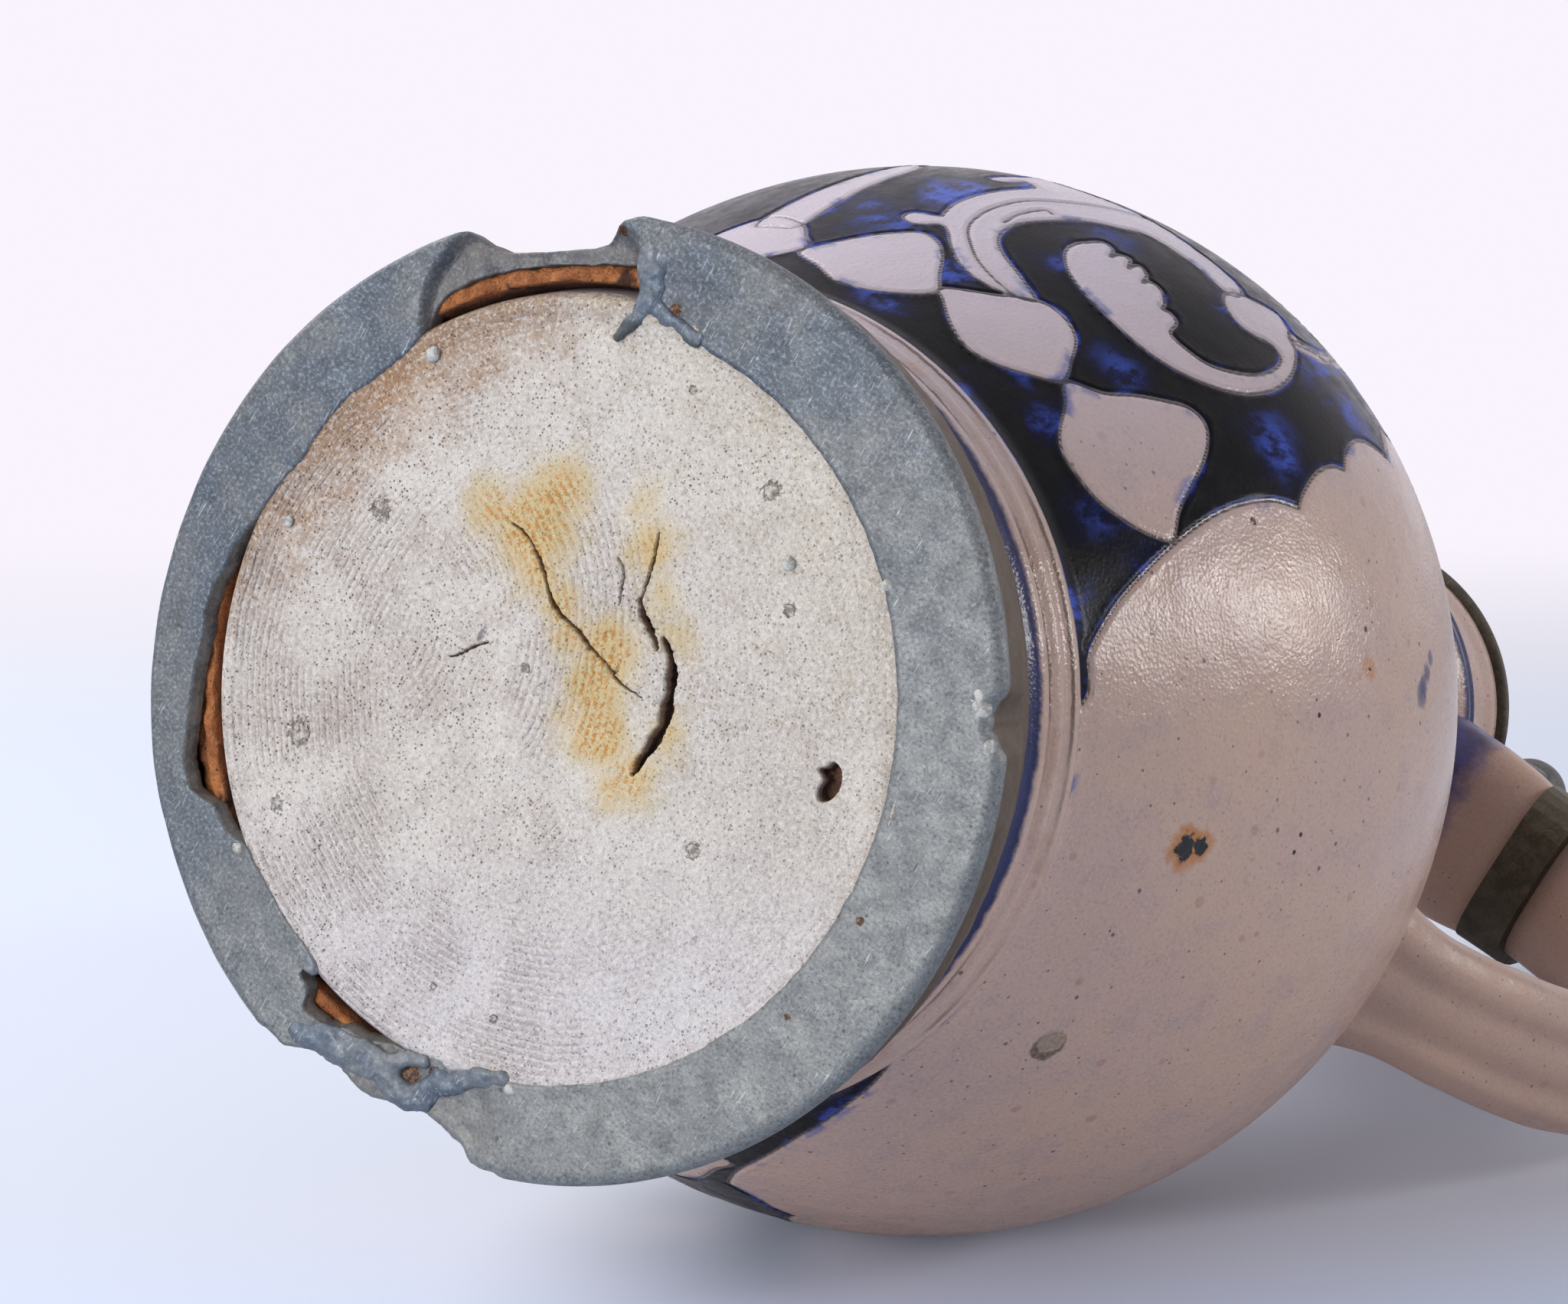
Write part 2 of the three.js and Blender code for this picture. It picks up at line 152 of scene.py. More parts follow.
class Board:  # the nodes of one material, or of the world
    def __init__(self, name, kind="materials"):
        self.owner = getattr(bpy.data, kind).new(name)
        self.owner.use_nodes = True
        self.tree = self.owner.node_tree
        self.shader = self.tree.nodes.get("Principled BSDF")
        self.spot = None
        self.colour = None  # the base colour so far, coat by coat

    @property
    def place(self):  # Object coordinates, in mm
        if not self.spot:
            spot = self.node("ShaderNodeTexCoord", output="Object")
            self.spot = self.moved(spot, Scale=(1 / mm, 1 / mm, 1 / mm))
        return self.spot

    def put(self, socket, value):
        if isinstance(value, Wire):
            self.tree.links.new(value.socket, socket)
        elif isinstance(value, (tuple, list)) and socket.type == "RGBA" and len(value) == 3:
            socket.default_value = (*value, 1)
        else:
            socket.default_value = value

    def node(self, kind, settings=None, values=None, output=0):
        made = self.tree.nodes.new(kind)
        for name, value in (settings or {}).items():
            setattr(made, name, value)
        named = values.items() if isinstance(values, dict) else enumerate(values or [])
        for name, value in named:
            self.put(made.inputs[name], value)
        return Wire(self, made.outputs[output])

    def attribute(self, name):
        return self.node("ShaderNodeAttribute", {"attribute_name": name}, output="Fac")

    def moved(self, vector=None, **settings):  # Location, Rotation and Scale of a pattern
        return self.node("ShaderNodeMapping", None, {"Vector": vector or self.place, **settings})

    def split(self, axes):
        return [self.node("ShaderNodeSeparateXYZ", None, [self.place], output=axis) for axis in axes]

    def reach(self):  # distance from the jug's axis
        x, y = self.split("XY")
        return (x * x + y * y).power(0.5)

    def measured(self, operation, other):
        settings = {"operation": operation}
        return self.node("ShaderNodeVectorMath", settings, [self.place, other], output="Value")

    def away(self, spot):  # distance from a place
        return self.measured("DISTANCE", spot)

    def along(self, way):  # distance along a direction
        return self.measured("DOT_PRODUCT", way)

    def grain(self, size, detail=2, rough=0.5, vector=None, distort=0):
        values = {"Vector": vector or self.place, "Scale": 1 / size, "Detail": detail,
                  "Roughness": rough, "Distortion": distort}
        return self.node("ShaderNodeTexNoise", None, values, output="Fac")

    def cells(self, size, vector=None, feature="F1", output="Distance"):
        values = {"Vector": vector or self.place, "Scale": 1 / size}
        return self.node("ShaderNodeTexVoronoi", {"feature": feature}, values, output=output)

    def speckles(self, size, share, reach, vector=None):  # dots of uneven size, in this share of the cells
        cell = self.cells(size, vector, output="Color")
        pick, grow = (self.node("ShaderNodeSeparateColor", None, [cell], output=o) for o in ("Red", "Green"))
        away = self.cells(size, vector) / (grow * 0.9 + 0.5)
        return away.ease(reach, reach * 0.5) * pick.ease(1 - share, 1 - share + 0.02)

    def mix(self, share, first, second):
        return self.node("ShaderNodeMix", {"data_type": "RGBA"}, {0: share, 6: first, 7: second}, output=2)

    def tones(self, share, first, second):  # the same between two eyedropper colours
        return self.mix(share, srgb(*first), srgb(*second))

    def coat(self, share, *over):  # lays eyedropper numbers, or one colour, over what is there
        self.colour = self.mix(share, self.colour, srgb(*over) if len(over) == 3 else over[0])

    def relief(self, *layers, strength=1, below=None):  # each layer a height, and the mm that 1 of it stands
        for height, distance in layers:
            values = {"Height": height, "Distance": distance * mm, "Strength": strength}
            if below:
                values["Normal"] = below
            below = self.node("ShaderNodeBump", None, values)
        return below

    def plain(self):
        return Wire(self, self.shader.outputs[0])

    def finish(self, **sockets):
        for name, value in {"Base Color": self.colour, **sockets}.items():
            self.put(self.shader.inputs[name.replace("_", " ")], value)
        return self.owner

    def surface(self, final):
        end = next(node for node in self.tree.nodes if node.type.startswith("OUTPUT"))
        self.put(end.inputs["Surface"], final)
        return self.owner


def srgb(*eyedropper):  # the linear colour of an eyedropper's red, green and blue
    return tuple(((c / 255 + 0.055) / 1.055) ** 2.4 if c > 10 else c / 255 / 12.92 for c in eyedropper)


# Mesh tools

def meshObject(name, bm, *materials):
    mesh = bpy.data.meshes.new(name)
    bm.to_mesh(mesh)
    bm.free()
    for material in materials:
        mesh.materials.append(material)
    return placed(name, mesh)


def addPiece(name, bm, materials, body, replaced=None):
    for face in bm.faces:
        face.smooth = True
    bmesh.ops.scale(bm, vec=(mm, mm, mm), verts=bm.verts)
    piece = meshObject(name, bm, *materials)
    if replaced:
        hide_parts(replaced)
    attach(piece, body)
    return piece


def turned(points, steps, closed=False):  # points are (radius, height) pairs
    bm = bmesh.new()
    verts = [bm.verts.new((r, 0, z)) for r, z in points]
    pairs = zip(verts, verts[1:] + verts[:1]) if closed else zip(verts, verts[1:])
    edges = [bm.edges.new(pair) for pair in pairs]
    bmesh.ops.spin(bm, geom=verts + edges, cent=(0, 0, 0), axis=(0, 0, 1), angle=math.tau, steps=steps,
                   use_merge=True, use_duplicate=False)
    bmesh.ops.remove_doubles(bm, verts=bm.verts, dist=1e-4)
    bmesh.ops.recalc_face_normals(bm, faces=bm.faces)
    return bm


def uneven(place, layers):  # noise, from layers of (height, size) in mm
    return sum(height * noise.noise(place / size) for height, size in layers)


def bezier(start, first, second, end, steps):
    corners = [Vector(p) for p in (start, first, second, end)]
    shares = [i / steps for i in range(steps + 1)]
    weights = [((1 - t) ** 3, 3 * (1 - t) ** 2 * t, 3 * (1 - t) * t * t, t ** 3) for t in shares]
    return [tuple(sum((c * w for c, w in zip(corners, row)), Vector((0, 0)))) for row in weights]


def arc(centre, radius, startDegrees, endDegrees, steps):
    turns = [math.radians(startDegrees + (endDegrees - startDegrees) * i / steps) for i in range(steps + 1)]
    return [(centre[0] + radius * math.cos(a), centre[1] + radius * math.sin(a)) for a in turns]


# Jug body profile, in mm from the axis and above the base

jug = {
    "base": 42,
    "baseHeight": 0.3,  # the runs of solder stand lower than the clay
    "baseEdge": 1.2,
    "footCurve": [(44.9, 11.7), (45.5, 18)],
    "foot": (45.7, 23.5),
    "bellyStart": (47.5, 32.5),
    "belly": (67.28, 95.3),
    "neck": (28.4, 190),
    "neckHeights": (198, 208, 218, 226),  # places along its straight part
    "collar": (30.6, 235),
    "collarWidth": 11,
    "lip": 26.4,
    "rim": 262,
    "wall": 5.6,
    "floor": 8,
    "turnSteps": 240,
    "search": (330, 720, 4000),  # distances from the camera between which the wall is looked for, and steps
    "searchLow": 12,  # lower places are left out, as they may be on the base
}


def grooveProfile(steps=6):
    (r0, z0), (r1, z1) = jug["foot"], jug["bellyStart"]
    shares = [i / (3 * steps) for i in range(3 * steps)]
    swell = [0.55 * abs(math.sin(3 * math.pi * s)) for s in shares]
    return [(r0 + (r1 - r0) * s + bulge, z0 + (z1 - z0) * s) for s, bulge in zip(shares, swell)]


def bellyProfile():
    r, z = jug["bellyStart"]
    R, Z = jug["belly"]
    return bezier((r, z), (r + 9.2, z + 22), (R, Z - 22.3), (R, Z), 38)


def shoulderProfile():
    R, Z = jug["belly"]
    r, z = jug["neck"]
    return bezier((R, Z), (R, Z + 43.7), (r + 2, z - 38), (r, z), 46)


def neckProfile():
    r, _ = jug["neck"]
    top, height = jug["collar"]
    half = jug["collarWidth"] / 2
    rows = [(r, z) for z in jug["neckHeights"]]
    for i in range(13):
        share = i / 12
        swell = math.sin(math.pi * share) ** 1.5 * (1 - 0.35 * math.exp(-((share - 0.5) / 0.08) ** 2))
        plain = r + (jug["lip"] - r) * share
        rows.append((plain * (1 - swell) + top * swell, height + 2 * half * (share - 0.5)))
    lip, rim = jug["lip"], jug["rim"]
    rows += [(lip - 0.4, rim - 18), (lip - 0.6, rim - 13), (lip - 0.8, rim - 8), (lip - 0.8, rim - 5.6)]
    rows += [(lip - 0.3, rim - 4.4), (lip, rim - 3), (lip, rim - 1.4)]
    return rows + [(lip - 0.5, rim - 0.4), (lip - 1.4, rim)]


def outsideProfile():
    edge, base, low = jug["baseEdge"], jug["base"], jug["baseHeight"]
    rows = [(base * i / 40, low) for i in range(40)]
    rows += [(base - 0.5, low + 0.05), (base + 0.25 * edge, low + 0.4), (base + 0.65 * edge, 1.4)]
    rows += [(base + edge, 2.6)] + jug["footCurve"]
    return rows + grooveProfile() + bellyProfile() + shoulderProfile()[1:] + neckProfile()


def insideProfile():
    wall, floor, rim = jug["wall"], jug["floor"], jug["rim"]
    mouth = jug["lip"] - wall
    rows = [(mouth + 1.2, rim), (mouth + 0.3, rim - 0.6), (mouth, rim - 2), (mouth, rim - 26)]
    rows += [(r - wall, z) for r, z in reversed(shoulderProfile()[::4])]
    rows += [(r - wall * 0.95, z + 1.5) for r, z in reversed(bellyProfile()[:-2:4])]
    return rows + bezier((38.5, 24), (37, 10), (30, floor), (22, floor), 6) + [(10, floor), (0, floor)]


outside = np.array(outsideProfile()[43:])  # the wall alone, rising
wallRun = np.concatenate([[0], np.cumsum(np.hypot(*np.diff(outside, axis=0).T))])


def radiusAt(height):
    return np.interp(height, outside[:, 1], outside[:, 0])


def runAt(height):  # length along the wall, so that a drawing isn't stretched
    return np.interp(height, outside[:, 1], wallRun)


def onBelly(x, y):  # the (degrees, height) that a pixel of the photograph shows
    start, along = np.array(camera["place"]), np.array(photoRay(x, y))
    spots = start + np.linspace(*jug["search"])[:, None] * along
    out = np.hypot(spots[:, 0], spots[:, 1]) - radiusAt(spots[:, 2])
    first = np.argmax((out < 0) & (spots[:, 2] > jug["searchLow"]))
    if first == 0:  # the ray passes the wall, so the nearest place on it is taken
        first = np.argmin(np.abs(out) + 99 * (spots[:, 2] < jug["searchLow"]))
    x, y, z = spots[first]
    return math.degrees(math.atan2(y, x)), z


def onBase(x, y):  # the place under the base that a pixel shows, in mm
    start, along = Vector(camera["place"]), photoRay(x, y)
    spot = start - along * (start.z / along.z)
    return spot.x, spot.y


# Painted and incised ornament: a dark ground with leaves, scrolls and a plain zone left in the clay colour

ornament = {
    "spread": 60,  # radius at which the drawing's widths are true, mm
    "lowerEdge": 32.1,
    "upperEdge": 168,
    "far": 5.0,  # distances from the drawing stop here, mm
    "drawnOn": (31, 169.5, 1.5),  # heights between which the wall is drawn on, and how deep
    "refined": (31.5, 169, 2),  # the same for its faces that are made smaller
    "groove": (0.3, 0.27),  # depth and half width of an incised line
    "burr": (0.09, 0.62, 0.28),  # the clay pushed up beside it: height, middle, half width
    "middle": 100,  # height that the lower half is mirrored over
    "handleShift": 8,  # degrees by which the far side of the handle is off
    # outlines in pixels of the photograph, which onBelly lays on the wall
    "leafB": [(1044, 328), (1098, 314), (1153, 305), (1201, 303), (1224, 314), (1231, 332), (1227, 357),
              (1223, 380), (1180, 382), (1132, 377), (1091, 365), (1067, 345)],
    "leafC": [(1229, 376), (1270, 380), (1304, 385), (1342, 389), (1373, 400), (1394, 418), (1405, 442),
              (1400, 469), (1387, 497), (1339, 487), (1297, 473), (1263, 452), (1242, 421), (1232, 390)],
    "leafD": [(1393, 498), (1441, 513), (1483, 516), (1524, 524), (1553, 532), (1574, 552), (1578, 578),
              (1570, 607), (1553, 640), (1540, 669), (1532, 703), (1510, 701), (1480, 686), (1438, 656),
              (1408, 621), (1389, 590), (1385, 562), (1392, 528)],
    "scroll": [(1344, 392), (1310, 380), (1277, 363), (1253, 342), (1242, 318), (1238, 300), (1229, 292),
               (1205, 292), (1186, 289), (1180, 281), (1195, 277), (1228, 282), (1233, 278), (1246, 266),
               (1270, 256), (1304, 249), (1339, 246), (1352, 244), (1340, 237), (1310, 237), (1292, 232),
               (1320, 231), (1366, 236), (1390, 243), (1425, 255), (1459, 268), (1500, 287), (1560, 325),
               (1620, 376), (1606, 384), (1560, 345), (1500, 307), (1466, 298), (1425, 289), (1373, 287),
               (1335, 290), (1315, 297), (1304, 311), (1311, 332), (1332, 359), (1352, 388)],
    "paisley": [(1392, 328), (1404, 318), (1421, 316), (1441, 316), (1454, 325), (1450, 335), (1462, 332),
                (1476, 338), (1474, 350), (1487, 346), (1498, 358), (1492, 369), (1503, 368), (1517, 379),
                (1522, 395), (1518, 403), (1530, 409), (1537, 421), (1529, 433), (1537, 445), (1558, 462),
                (1582, 477), (1616, 487), (1645, 489), (1665, 482), (1674, 469), (1667, 455), (1655, 445),
                (1640, 438), (1620, 424), (1604, 404), (1599, 389), (1604, 382), (1618, 383), (1634, 391),
                (1652, 400), (1672, 414), (1687, 441), (1693, 466), (1686, 491), (1665, 508), (1632, 514),
                (1595, 507), (1553, 491), (1516, 470), (1483, 445), (1452, 417), (1425, 391), (1404, 366),
                (1393, 346)],
    "crescent": [(1684, 434), (1700, 446), (1722, 460), (1742, 464), (1746, 470), (1730, 472),
                 (1706, 462), (1688, 450)],
    "band": [(988, 292), (1046, 259), (1098, 238), (1153, 222), (1200, 214), (1196, 221), (1153, 235),
             (1115, 252), (1074, 276), (1041, 296), (1015, 296)],
    "arch": [(1411, 929), (1422, 907), (1424, 880), (1423, 858), (1434, 830), (1462, 785), (1504, 739),
             (1545, 702), (1587, 673), (1628, 657), (1665, 654), (1698, 664)],
    "cusps": [[(1698, 664), (1703, 644), (1719, 619), (1740, 609), (1757, 614)],
              [(1757, 614), (1759, 590), (1769, 577), (1786, 578), (1811, 598)]],
    # (degrees, height) on the hidden side of the handle
    "upperCusps": [[(-61, 102), (-63, 106), (-62, 113), (-57, 116)],
                   [(-58, 122), (-55, 128), (-48, 129), (-46, 137), (-38, 140), (-36, 147), (-26, 149),
                    (-22, 156)]],
    "zoneTop": [(-10, 159), (0, 160)],
    "farArchTop": 62,
    "farArch": [(1178, 1379), (1142, 1415), (1104, 1445), (1073, 1468), (1045, 1484), (1015, 1502),
                (984, 1519), (961, 1531), (950, 1545)],
    "scrollLines": [[(1330, 388), (1302, 366), (1277, 338), (1266, 311), (1266, 294), (1280, 280),
                     (1304, 269), (1339, 262), (1390, 264), (1442, 271), (1500, 287)],
                    [(1311, 290), (1332, 279), (1366, 274), (1376, 280)]],
    "ring": (37, 33),  # round the front's rosette of petals, each drawn as (out, aside) in mm
    "petals": 8,
    "petal": [(6, 0), (14, 4.5), (22, 6), (27, 3.5), (29, 0), (27, -3.5), (22, -6), (14, -4.5)],
    "hiddenNodes": (-114, -134, -154, -174),  # where the leaves of the chain meet, unseen, degrees
}


def smoothRun(points, steps=5, closed=True):  # a smooth curve through given points
    spots = [Vector(p) for p in points]
    last = len(spots) - 1
    rows = []
    for i in range(last + closed):
        near = range(i - 1, i + 3)
        a, b, c, d = (spots[k % (last + 1) if closed else min(max(k, 0), last)] for k in near)
        for step in range(steps):
            t = step / steps
            rows.append(0.5 * ((2 * b) + (c - a) * t + (2 * a - 5 * b + 4 * c - d) * t * t
                               + (3 * b - a - 3 * c + d) * t ** 3))
    return [tuple(p) for p in rows] + ([] if closed else [tuple(spots[-1])])


def openRun(points, steps=5):
    return smoothRun(points, steps, closed=False)


def drawn(degrees, height):  # a place on the wall as flat drawing coordinates, mm
    return np.column_stack([np.radians(degrees) * ornament["spread"], runAt(np.asarray(height))])


def traced(pixels):  # (degrees, height) places on the wall
    return [onBelly(x, y) for x, y in pixels]


def farSide(places):
    return [(ornament["handleShift"] - a, z) for a, z in places][::-1]


def upsideDown(places):
    return [(a, 2 * ornament["middle"] - z) for a, z in places][::-1]


def hiddenLeaf(start, end):  # the same leaf as those in view, between two nodes
    wide = end - start
    return [(start, 43), (start + 0.17 * wide, 47), (start + 0.48 * wide, 54), (start + 0.75 * wide, 52),
            (start + 0.9 * wide, 48), (end, 44), (start + 0.68 * wide, 38.5), (start + 0.25 * wide, 40)]


def medallion():  # front of the jug: a ring with a plain rosette in it
    across = math.degrees(1 / ornament["spread"])
    place = lambda x, y: (180 + x * across, ornament["middle"] + y)
    petals = []
    for k in range(ornament["petals"]):
        turn = math.tau * k / ornament["petals"]
        c, s = math.cos(turn), math.sin(turn)
        petals.append([place(x * c - y * s, x * s + y * c) for x, y in ornament["petal"]])
    turns = np.linspace(0, math.tau, 41)[:-1]
    return petals, [[place(r * math.cos(a), r * math.sin(a)) for a in turns] for r in ornament["ring"]]


def plainZone():  # handle side, bounded by the arch and its cusps
    half = openRun(traced(ornament["arch"]))
    for cusp in ornament["cusps"]:
        half += openRun(traced(cusp))[1:]
    for cusp in ornament["upperCusps"]:
        half += openRun(cusp)
    half += ornament["zoneTop"]
    far = farSide([place for place in half if place[1] > ornament["farArchTop"]])
    return half + far + openRun(traced(ornament["farArch"]))[::-1]


def distances(spots, outline, closed=True):  # signed for a closed outline: negative inside
    length = math.tau * ornament["spread"]
    line = np.asarray(outline, float)
    if closed:
        line = np.vstack([line, line[:1]])
    middle = (line[:, 0].min() + line[:, 0].max()) / 2
    here = spots.copy()
    here[:, 0] = middle + (spots[:, 0] - middle + length / 2) % length - length / 2
    low, high = line.min(0) - ornament["far"], line.max(0) + ornament["far"]
    near = np.all((here > low) & (here < high), axis=1)
    found = np.full(len(spots), ornament["far"])
    p = here[near]
    best = np.full(len(p), ornament["far"] ** 2)
    inside = np.zeros(len(p), bool)
    for a, b in zip(line[:-1], line[1:]):
        along = b - a
        share = np.clip(((p - a) @ along) / max(along @ along, 1e-9), 0, 1)
        off = p - a - share[:, None] * along
        best = np.minimum(best, (off ** 2).sum(1))
        crosses = (a[1] > p[:, 1]) != (b[1] > p[:, 1])
        if abs(along[1]) > 1e-9:
            inside ^= crosses & (p[:, 0] < a[0] + (p[:, 1] - a[1]) * along[0] / along[1])
    found[near] = np.sqrt(best) * (np.where(inside, -1, 1) if closed else 1)
    return found


def ornamentShapes():
    names = ("leafB", "leafC", "leafD", "scroll", "band", "paisley", "crescent")
    near = [smoothRun(traced(ornament[name])) for name in names]
    nodes = ornament["hiddenNodes"]
    near += [smoothRun(hiddenLeaf(b, a)) for a, b in zip(nodes, nodes[1:])]
    nearLines = [openRun(traced(line)) for line in ornament["scrollLines"]]
    both, bothLines = (runs + [upsideDown(run) for run in runs] for runs in (near, nearLines))
    petals, ring = medallion()
    shapes = both + [farSide(shape) for shape in both] + petals
    lines = bothLines + [farSide(line) for line in bothLines]
    flat = lambda places: drawn(*np.array(places).T)
    return [flat(s) for s in shapes], [flat(r) for r in ring], [flat(s) for s in lines], flat(plainZone())


shapes, rings, lines, zone = ornamentShapes()


def ornamentFields(degrees, height):  # mm inside the painted ground, and mm from the nearest line
    spots = drawn(degrees, height)
    far = ornament["far"]
    ground, line = np.full((2, len(spots)), far)
    for shape in shapes:
        away = distances(spots, shape)
        ground = np.minimum(ground, away)
        line = np.minimum(line, np.abs(away))
    outer, inner = (distances(spots, ring) for ring in rings)
    band = np.maximum(outer, -inner)
    ground = np.where((outer < 0) | (outer > 0.2), ground, far)
    ground = np.minimum(ground, band)
    line = np.minimum(line, np.minimum(np.abs(outer), np.abs(inner)))
    for shape in lines:
        line = np.minimum(line, distances(spots, shape, closed=False))
    plain = distances(spots, zone)
    line = np.minimum(np.where(plain < 0, far, line), np.abs(plain))
    ground = np.minimum(ground, plain)
    high = runAt(ornament["upperEdge"])
    edge = np.minimum(spots[:, 1] - runAt(ornament["lowerEdge"]), high - spots[:, 1])
    line = np.minimum(np.where(edge < 0, far, line), np.abs(high - spots[:, 1]))
    return np.minimum(ground, edge), line


print("ornament drawn", len(shapes), "shapes")


# Marks under the base: cracks from drying, and a hole

base = {
    # pixels along each crack, and its greatest width in mm
    "cracks": [([(663, 682), (679, 695), (693, 718), (704, 744), (710, 772), (725, 801), (745, 820),
                 (765, 845), (785, 866), (803, 891), (833, 911)], 0.42),
               ([(856, 686), (853, 709), (847, 738), (838, 766), (832, 784)], 0.34),
               ([(831, 780), (834, 804), (842, 820), (853, 849)], 0.7),
               ([(860, 833), (869, 858), (871, 887), (866, 921), (859, 950), (843, 976), (831, 993),
                 (822, 1011)], 1.2),
               ([(579, 858), (596, 853), (610, 845), (634, 838)], 0.3),
               ([(801, 727), (808, 743), (807, 766), (804, 790)], 0.26)],
    "hole": [(1083, 994), (1094, 1006), (1092, 1030), (1078, 1046), (1064, 1048), (1060, 1034),
             (1068, 1018), (1062, 1004), (1074, 1000)],
    "depth": 2.6,
    "ragged": 0.19,
    "uneven": ((0.25, 9), (0.12, 3.5)),
    "skin": 0.06,  # heights over the base's own that still count as under it
    "rim": 41.9,  # inside this radius the base is slightly hollow
    "hollow": 0.6,
    "crackRim": 41.5,  # inside this radius the faces near cracks are made smaller
    "bareHeight": 3.4,  # the clay is unglazed up to this height and out to this radius
    "bareReach": 43.5,
    # pixel, reach in mm, strength
    "stains": [(690, 690, 6.2, 1), (725, 645, 5, 0.85), (640, 665, 4.4, 0.8), (700, 745, 4, 0.85),
               (730, 790, 3.6, 0.8), (790, 850, 4, 1), (770, 900, 3.8, 1), (775, 960, 4.4, 1),
               (845, 710, 4, 0.7), (860, 770, 3.4, 0.6), (820, 1015, 4, 0.85), (740, 830, 3.4, 0.8),
               (868, 960, 3.4, 0.6), (878, 830, 3.4, 0.55), (800, 1030, 3.4, 0.8), (835, 660, 3.4, 0.55),
               (735, 930, 2.6, 0.7)],
    # pixel and size in mm of the small craters in the clay
    "pits": [(384, 955, 1.6), (492, 664, 1.5), (681, 872, 0.6), (1026, 797, 0.7), (901, 509, 0.5),
             (356, 1050, 0.9), (1003, 640, 1.2), (640, 1330, 0.6), (560, 1290, 0.5), (900, 1110, 0.9)],
    "wheelPitch": 0.83,
    "fan": ((480, 820), 0.95),  # pixel at which the arcs of cutting off are centred, and their pitch in mm
}


def crackDepths(spots):  # share of the full depth at places on the base, in mm
    depth = np.zeros(len(spots))
    for pixels, width in base["cracks"]:
        line = openRun([onBase(x, y) for x, y in pixels], 6)
        ragged = base["ragged"]
        line = [(x + ragged * noise.noise((i * 1.3, 0, 0)), y + ragged * noise.noise((0, i * 1.3, 5)))
                for i, (x, y) in enumerate(line)]
        run = np.linspace(0, 1, len(line))
        for (a, b), share in zip(zip(line, line[1:]), run):
            a, b = np.array(a), np.array(b)
            along = b - a
            t = np.clip(((spots - a) @ along) / (along @ along), 0, 1)
            off = np.hypot(*(spots - a - t[:, None] * along).T)
            swell = 0.3 + 0.7 * math.sin(math.pi * share) ** 0.8
            half = width * swell * (1 + 0.2 * math.sin(31 * share)) / 2
            depth = np.maximum(depth, np.clip(1.3 - off / half, 0, 1) * min(1, 0.35 + width / 2))
    hole = np.array(smoothRun([onBase(x, y) for x, y in base["hole"]], 4))
    centre, reach = hole.mean(0), np.hypot(*(hole - hole.mean(0)).T)
    turn = np.arctan2(*(hole - centre).T[::-1])
    order = np.argsort(turn)
    here = spots - centre
    edge = np.interp(np.arctan2(here[:, 1], here[:, 0]), turn[order], reach[order], period=math.tau)
    return np.maximum(depth, np.clip((edge - np.hypot(*here.T)) / 0.5, 0, 1) * 0.9)


def stains(spots):  # yellow-brown bloom round the cracks
    found = np.zeros(len(spots))
    for x, y, reach, strength in base["stains"]:
        away = np.hypot(*(spots - np.array(onBase(x, y))).T)
        found = np.maximum(found, strength * np.exp(-(away / reach) ** 2))
    return found


def paintValues(piece, name, values):
    attribute = piece.data.attributes.new(name, "FLOAT", "POINT")
    attribute.data.foreach_set("value", np.asarray(values, np.float32))


def coordinates(bm):
    return np.array([v.co for v in bm.verts])


def refine(bm, wanted, levels):  # halves the faces that wanted() picks, and turns them true again
    for _ in range(levels):
        middles = np.array([f.calc_center_median() for f in bm.faces])
        sizes = np.sqrt([f.calc_area() for f in bm.faces])
        picked = wanted(middles, sizes)
        faces = [f for f, pick in zip(bm.faces[:], picked) if pick]
        edges = list({e for f in faces for e in f.edges})
        made = bmesh.ops.subdivide_edges(bm, edges=edges, cuts=1, use_grid_fill=True)
        for v in {g for g in made["geom_inner"] if isinstance(g, bmesh.types.BMVert)}:
            if v.co.z > jug["bellyStart"][1]:
                v.co.xy *= radiusAt(v.co.z) / math.hypot(v.co.x, v.co.y)
    bmesh.ops.recalc_face_normals(bm, faces=bm.faces)


def onWall(spots, stretch):  # which spots lie in a stretch of the outer wall
    low, high, deep = ornament[stretch]
    z = spots[:, 2]
    return (z > low) & (z < high) & (np.hypot(*spots[:, :2].T) > radiusAt(z) - deep)


def underBase(spots, rim):
    return (spots[:, 2] < jug["baseHeight"] + base["skin"]) & (np.hypot(*spots[:, :2].T) < rim)


def nearOrnament(middles, sizes):
    wall = onWall(middles, "refined")
    picked = np.zeros(len(middles), bool)
    degrees = np.degrees(np.arctan2(middles[wall, 1], middles[wall, 0]))
    _, line = ornamentFields(degrees, middles[wall, 2])
    picked[wall] = line < sizes[wall] * 0.9 + 0.25
    return picked


def nearCracks(middles, sizes):
    under = underBase(middles, base["crackRim"])
    picked = np.zeros(len(middles), bool)
    spots = middles[under][:, :2]
    reach = np.clip(sizes[under] * 0.75, 0.2, 0.7)[:, None]
    ring = [(0, 0)] + [(math.cos(a), math.sin(a)) for a in np.linspace(0, math.tau, 9)[:-1]]
    picked[under] = np.max([crackDepths(spots + reach * np.array(step)) for step in ring], axis=0) > 0
    return picked


